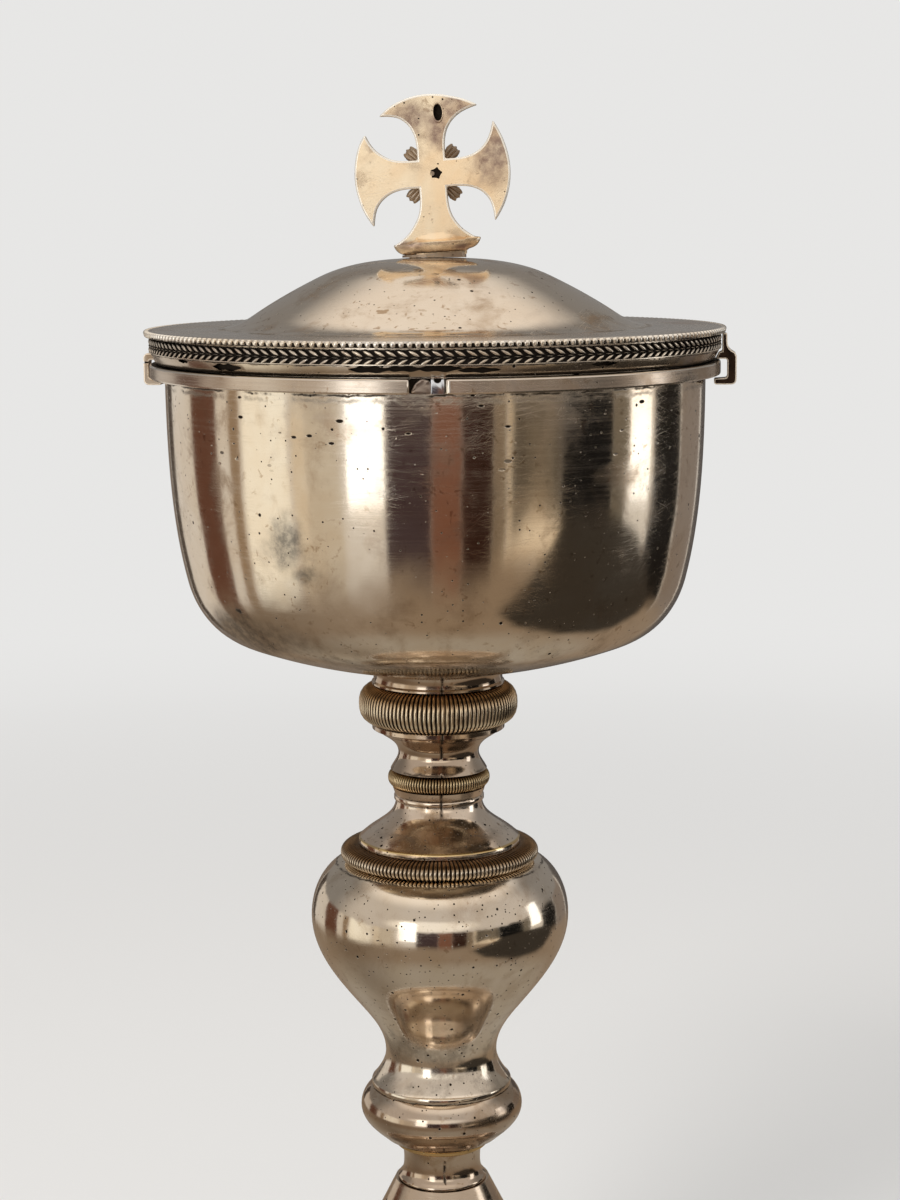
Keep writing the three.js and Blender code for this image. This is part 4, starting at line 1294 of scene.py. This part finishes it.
rivet = turned("rosette_rivet_turned", [
    (0.0, 0.0), (0.5, 0.0), (0.5, 3.9), (1.2, 3.9), (1.3, 4.05), (1.25, 4.35), (0.95, 4.62),
    (0.5, 4.74), (0.0, 4.78),
], 32)
put(rivet, (0, -CROSS_THICKNESS / 2, CROSS_MIDDLE), turn=(-90, 0, 0))
dress(rivet, rosette_gilt)
place_piece(lean(rivet), "cover", "pale_gilt", "rosette_rivet")
redress_node("cross_collar", hook_silver)
redress_node("cross_stud", rosette_gilt)

# Floor, sky and light, with places in metres
PALE = (0.80, 0.795, 0.785)


def glow(name, color):
    """A cloth that shows its colour as it is written."""
    f = Finish(name, 0.0)
    lit = f.add("Emission")
    lit.inputs["Color"].default_value = (*color, 1.0)
    output = [node for node in f.tree.nodes if node.type == "OUTPUT_MATERIAL"][0]
    return f, lit, output.inputs["Surface"]


def stage_floor():
    deselect()
    bpy.ops.mesh.primitive_circle_add(vertices=96, radius=12.0, fill_type="NGON")
    floor = bpy.context.object
    floor.name = "floor"
    f, lit, surface = glow("pale_floor", PALE)
    f.shader.inputs["Base Color"].default_value = (*PALE, 1.0)
    f.shader.inputs["Roughness"].default_value = 0.75
    mixed = f.add("MixShader")
    f.feed(mixed.inputs[0], f.between(f.radius, 0.30, 1.1))
    f.feed(mixed.inputs[1], f.shader.outputs[0])
    f.feed(mixed.inputs[2], lit.outputs[0])
    f.feed(surface, mixed.outputs[0])
    dress(floor, f.material)
    floor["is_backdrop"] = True


def sky():
    """Pale to the eye and in the metal, and softer as a light."""
    world = bpy.data.worlds.new("studio")
    bpy.context.scene.world = world
    world.use_nodes = True
    tree = world.node_tree
    background = tree.nodes["Background"]
    background.inputs["Color"].default_value = (*PALE, 1.0)
    rays = tree.nodes.new("ShaderNodeLightPath")
    seen = rays.outputs["Is Camera Ray"]
    for kind in ("Is Glossy Ray", "Is Transmission Ray"):
        either = tree.nodes.new("ShaderNodeMath")
        either.operation = "MAXIMUM"
        tree.links.new(seen, either.inputs[0])
        tree.links.new(rays.outputs[kind], either.inputs[1])
        seen = either.outputs[0]
    strength = tree.nodes.new("ShaderNodeMapRange")
    tree.links.new(seen, strength.inputs["Value"])
    strength.inputs["To Min"].default_value = 0.6
    strength.inputs["To Max"].default_value = 1.0
    tree.links.new(strength.outputs[0], background.inputs["Strength"])


def softbox(name, azimuth, distance, level, width, height, watts, in_metal, color=(1.0, 1.0, 1.0)):
    """A soft lamp that faces the object. Azimuths run in degrees from the front to the
    right. One that is mirrored in the metal stands upright, the others shine down."""
    lamp = bpy.data.lights.new(name, "AREA")
    lamp.shape = "RECTANGLE"
    lamp.size = width
    lamp.size_y = height
    lamp.energy = watts
    lamp.color = color
    holder = bpy.data.objects.new(name, lamp)
    bpy.context.scene.collection.objects.link(holder)
    turn = math.radians(azimuth)
    place = Vector((distance * math.sin(turn), -distance * math.cos(turn), level))
    holder.location = place
    aim = Vector((0, 0, level if in_metal else 0.2))
    holder.rotation_euler = (aim - place).to_track_quat("-Z", "Y").to_euler()
    holder.visible_glossy = in_metal


# Outline of the dim room round the table, in mm, and the upright fields of its wall, as
# first and last azimuth in degrees and colour
ROOM_OUTLINE = [
    (60.8, 3), (200, 3), (500, 3), (840, 3), (870, 8), (892, 30), (900, 60), (900, 200),
    (880, 380), (800, 570), (660, 740), (480, 870), (270, 950), (0, 980),
]
ROOM_WALL = (0.66, 0.62, 0.57)
ROOM_FIELDS = (
    (-180, -156, (0.20, 0.16, 0.13)),
    (-155, -146, (0.07, 0.055, 0.045)),
    (-121, -102, (0.12, 0.055, 0.036)),
    (-94, -88, (0.28, 0.20, 0.13)),
    (-86, -62, (1.0, 0.98, 0.89)),
    (-60, -54, (0.70, 0.62, 0.50)),
    (-54, -39, (0.57, 0.51, 0.42)),
    (-20.5, -2, (0.052, 0.034, 0.036)),
    (-2, 10, (0.18, 0.083, 0.053)),
    (10, 23, (0.030, 0.013, 0.009)),
    (23, 28.5, (0.20, 0.155, 0.11)),
    (29, 31, (0.50, 0.42, 0.31)),
    (31, 52, (0.105, 0.088, 0.068)),
    (52, 77, (0.006, 0.006, 0.006)),
    (77, 85, (0.16, 0.14, 0.11)),
    (101, 123, (0.010, 0.009, 0.008)),
    (124, 148, (0.22, 0.185, 0.16)),
    (150, 180, (0.10, 0.09, 0.085)),
)


def upright_fields(f, azimuth):
    color = ROOM_WALL
    for first, last, tint in ROOM_FIELDS:
        away = f.math("ABSOLUTE", f.less(azimuth, math.radians((first + last) / 2)))
        half = math.radians((last - first) / 2)
        color = f.mix(f.between(away, half - 0.012, half + 0.012, 1.0, 0.0), color, tint)
    return color


def lay_table(f, azimuth, uneven, ragged, wall):
    """The table's brown, darker at the left, with a pale stretch beyond it at the right
    and a round shade on that side."""
    table = f.mix(f.between(f.radius, 0.10, 0.20), (0.35, 0.315, 0.265), (0.27, 0.21, 0.155))
    left = f.near(azimuth, math.radians(-85), math.radians(55))
    table = f.mix(f.times(left, 0.6), table, (0.16, 0.125, 0.095))
    beyond = f.near(azimuth, math.radians(44), math.radians(27))
    pale = f.times(f.between(beyond, 0.0, 0.5), f.between(f.radius, 0.45, 0.65))
    table = f.mix(pale, table, (0.80, 0.68, 0.52))
    reach = f.sum(f.radius, f.times(uneven, 0.35), f.times(ragged, 0.12), f.times(beyond, -0.42))
    color = f.mix(f.between(reach, 0.28, 0.56), table, wall)

    middle = (0.489, -0.178, 0.003)
    from_shade = f.add("VectorMath", f.place, middle, operation="SUBTRACT").outputs[0]
    distance = f.add("VectorMath", from_shade, operation="LENGTH").outputs["Value"]
    away = f.sum(distance, f.times(uneven, 0.10))
    across = f.sum(f.times(f.x, 0.342), f.times(f.y, 0.94), f.times(uneven, 0.04))
    shade = f.times(
        f.between(away, 0.335, 0.375, 1.0, 0.0),
        f.between(across, -0.235, -0.200),
        f.between(f.z, 0.03, 0.06, 1.0, 0.0),
    )
    return f.mix(shade, color, (0.040, 0.034, 0.028))


def surroundings():
    """A dim room round the table, seen only in the metal: upright fields of colour that
    fade into the table below, and into a darker back and a bright ceiling above."""
    piece = spin_line("room", ROOM_OUTLINE, 90, 0.0, FULL_TURN)
    end_edit()
    f, lit, surface = glow("room_cloth", PALE)
    uneven = f.less(f.noise(f.place, 5.0, 3.0, 0.6), 0.5)
    ragged = f.less(f.noise(f.place, 14.0, 3.0, 0.6), 0.5)
    azimuth = f.sum(f.angle, f.times(uneven, 0.06), f.times(ragged, 0.05))
    color = lay_table(f, azimuth, uneven, ragged, upright_fields(f, azimuth))
    upper = f.mix(f.between(f.y, -0.15, 0.40), (0.60, 0.56, 0.52), (0.25, 0.24, 0.23))
    level = f.sum(f.z, f.times(uneven, 0.15), f.times(ragged, 0.06))
    color = f.mix(f.between(level, 0.195, 0.235), color, upper)
    panel = f.times(f.near(azimuth, math.radians(-8), math.radians(60)), f.near(f.z, 0.35, 0.18))
    color = f.mix(f.between(panel, 0.10, 0.45), color, (1.0, 0.965, 0.90))
    color = f.mix(f.between(f.z, 0.70, 0.90), color, (0.98, 0.92, 0.85))
    f.feed(lit.inputs["Color"], color)
    f.feed(surface, lit.outputs[0])
    dress(piece, f.material)
    piece.visible_camera = False
    piece.visible_shadow = False
    piece.visible_diffuse = False
    piece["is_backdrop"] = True


stage_floor()
sky()
softbox("strip_left", -28.6, 0.86, 0.30, 0.23, 0.75, 0.76, True, (0.90, 0.95, 1.0))
softbox("strip_right", 92.5, 0.86, 0.37, 0.19, 0.65, 0.48, True, (0.90, 0.95, 1.0))
softbox("key", -40, 1.3, 1.25, 0.7, 0.7, 14.0, False, (1.0, 0.97, 0.94))
softbox("top", 160, 0.5, 1.5, 1.1, 1.1, 7.0, False)
surroundings()

# Camera
LENS = 49.012
EYE = (0, -0.5481, 0.2777)
LOOK_DOWN = 9.004
LOOK_RIGHT = 0.30
ROLL = -0.45
camera_data = bpy.data.cameras.new("camera")
camera_data.sensor_fit = "VERTICAL"
camera_data.sensor_height = 24
camera_data.lens = LENS
camera = bpy.data.objects.new("camera", camera_data)
bpy.context.scene.collection.objects.link(camera)
camera.matrix_world = (
    Matrix.Translation(EYE)
    @ Matrix.Rotation(math.radians(-LOOK_RIGHT), 4, "Z")
    @ Matrix.Rotation(math.radians(90 - LOOK_DOWN), 4, "X")
    @ Matrix.Rotation(math.radians(ROLL), 4, "Z")
)
bpy.context.scene.camera = camera
bpy.context.scene.view_settings.view_transform = "Standard"

bpy.context.view_layer.update()
low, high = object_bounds()
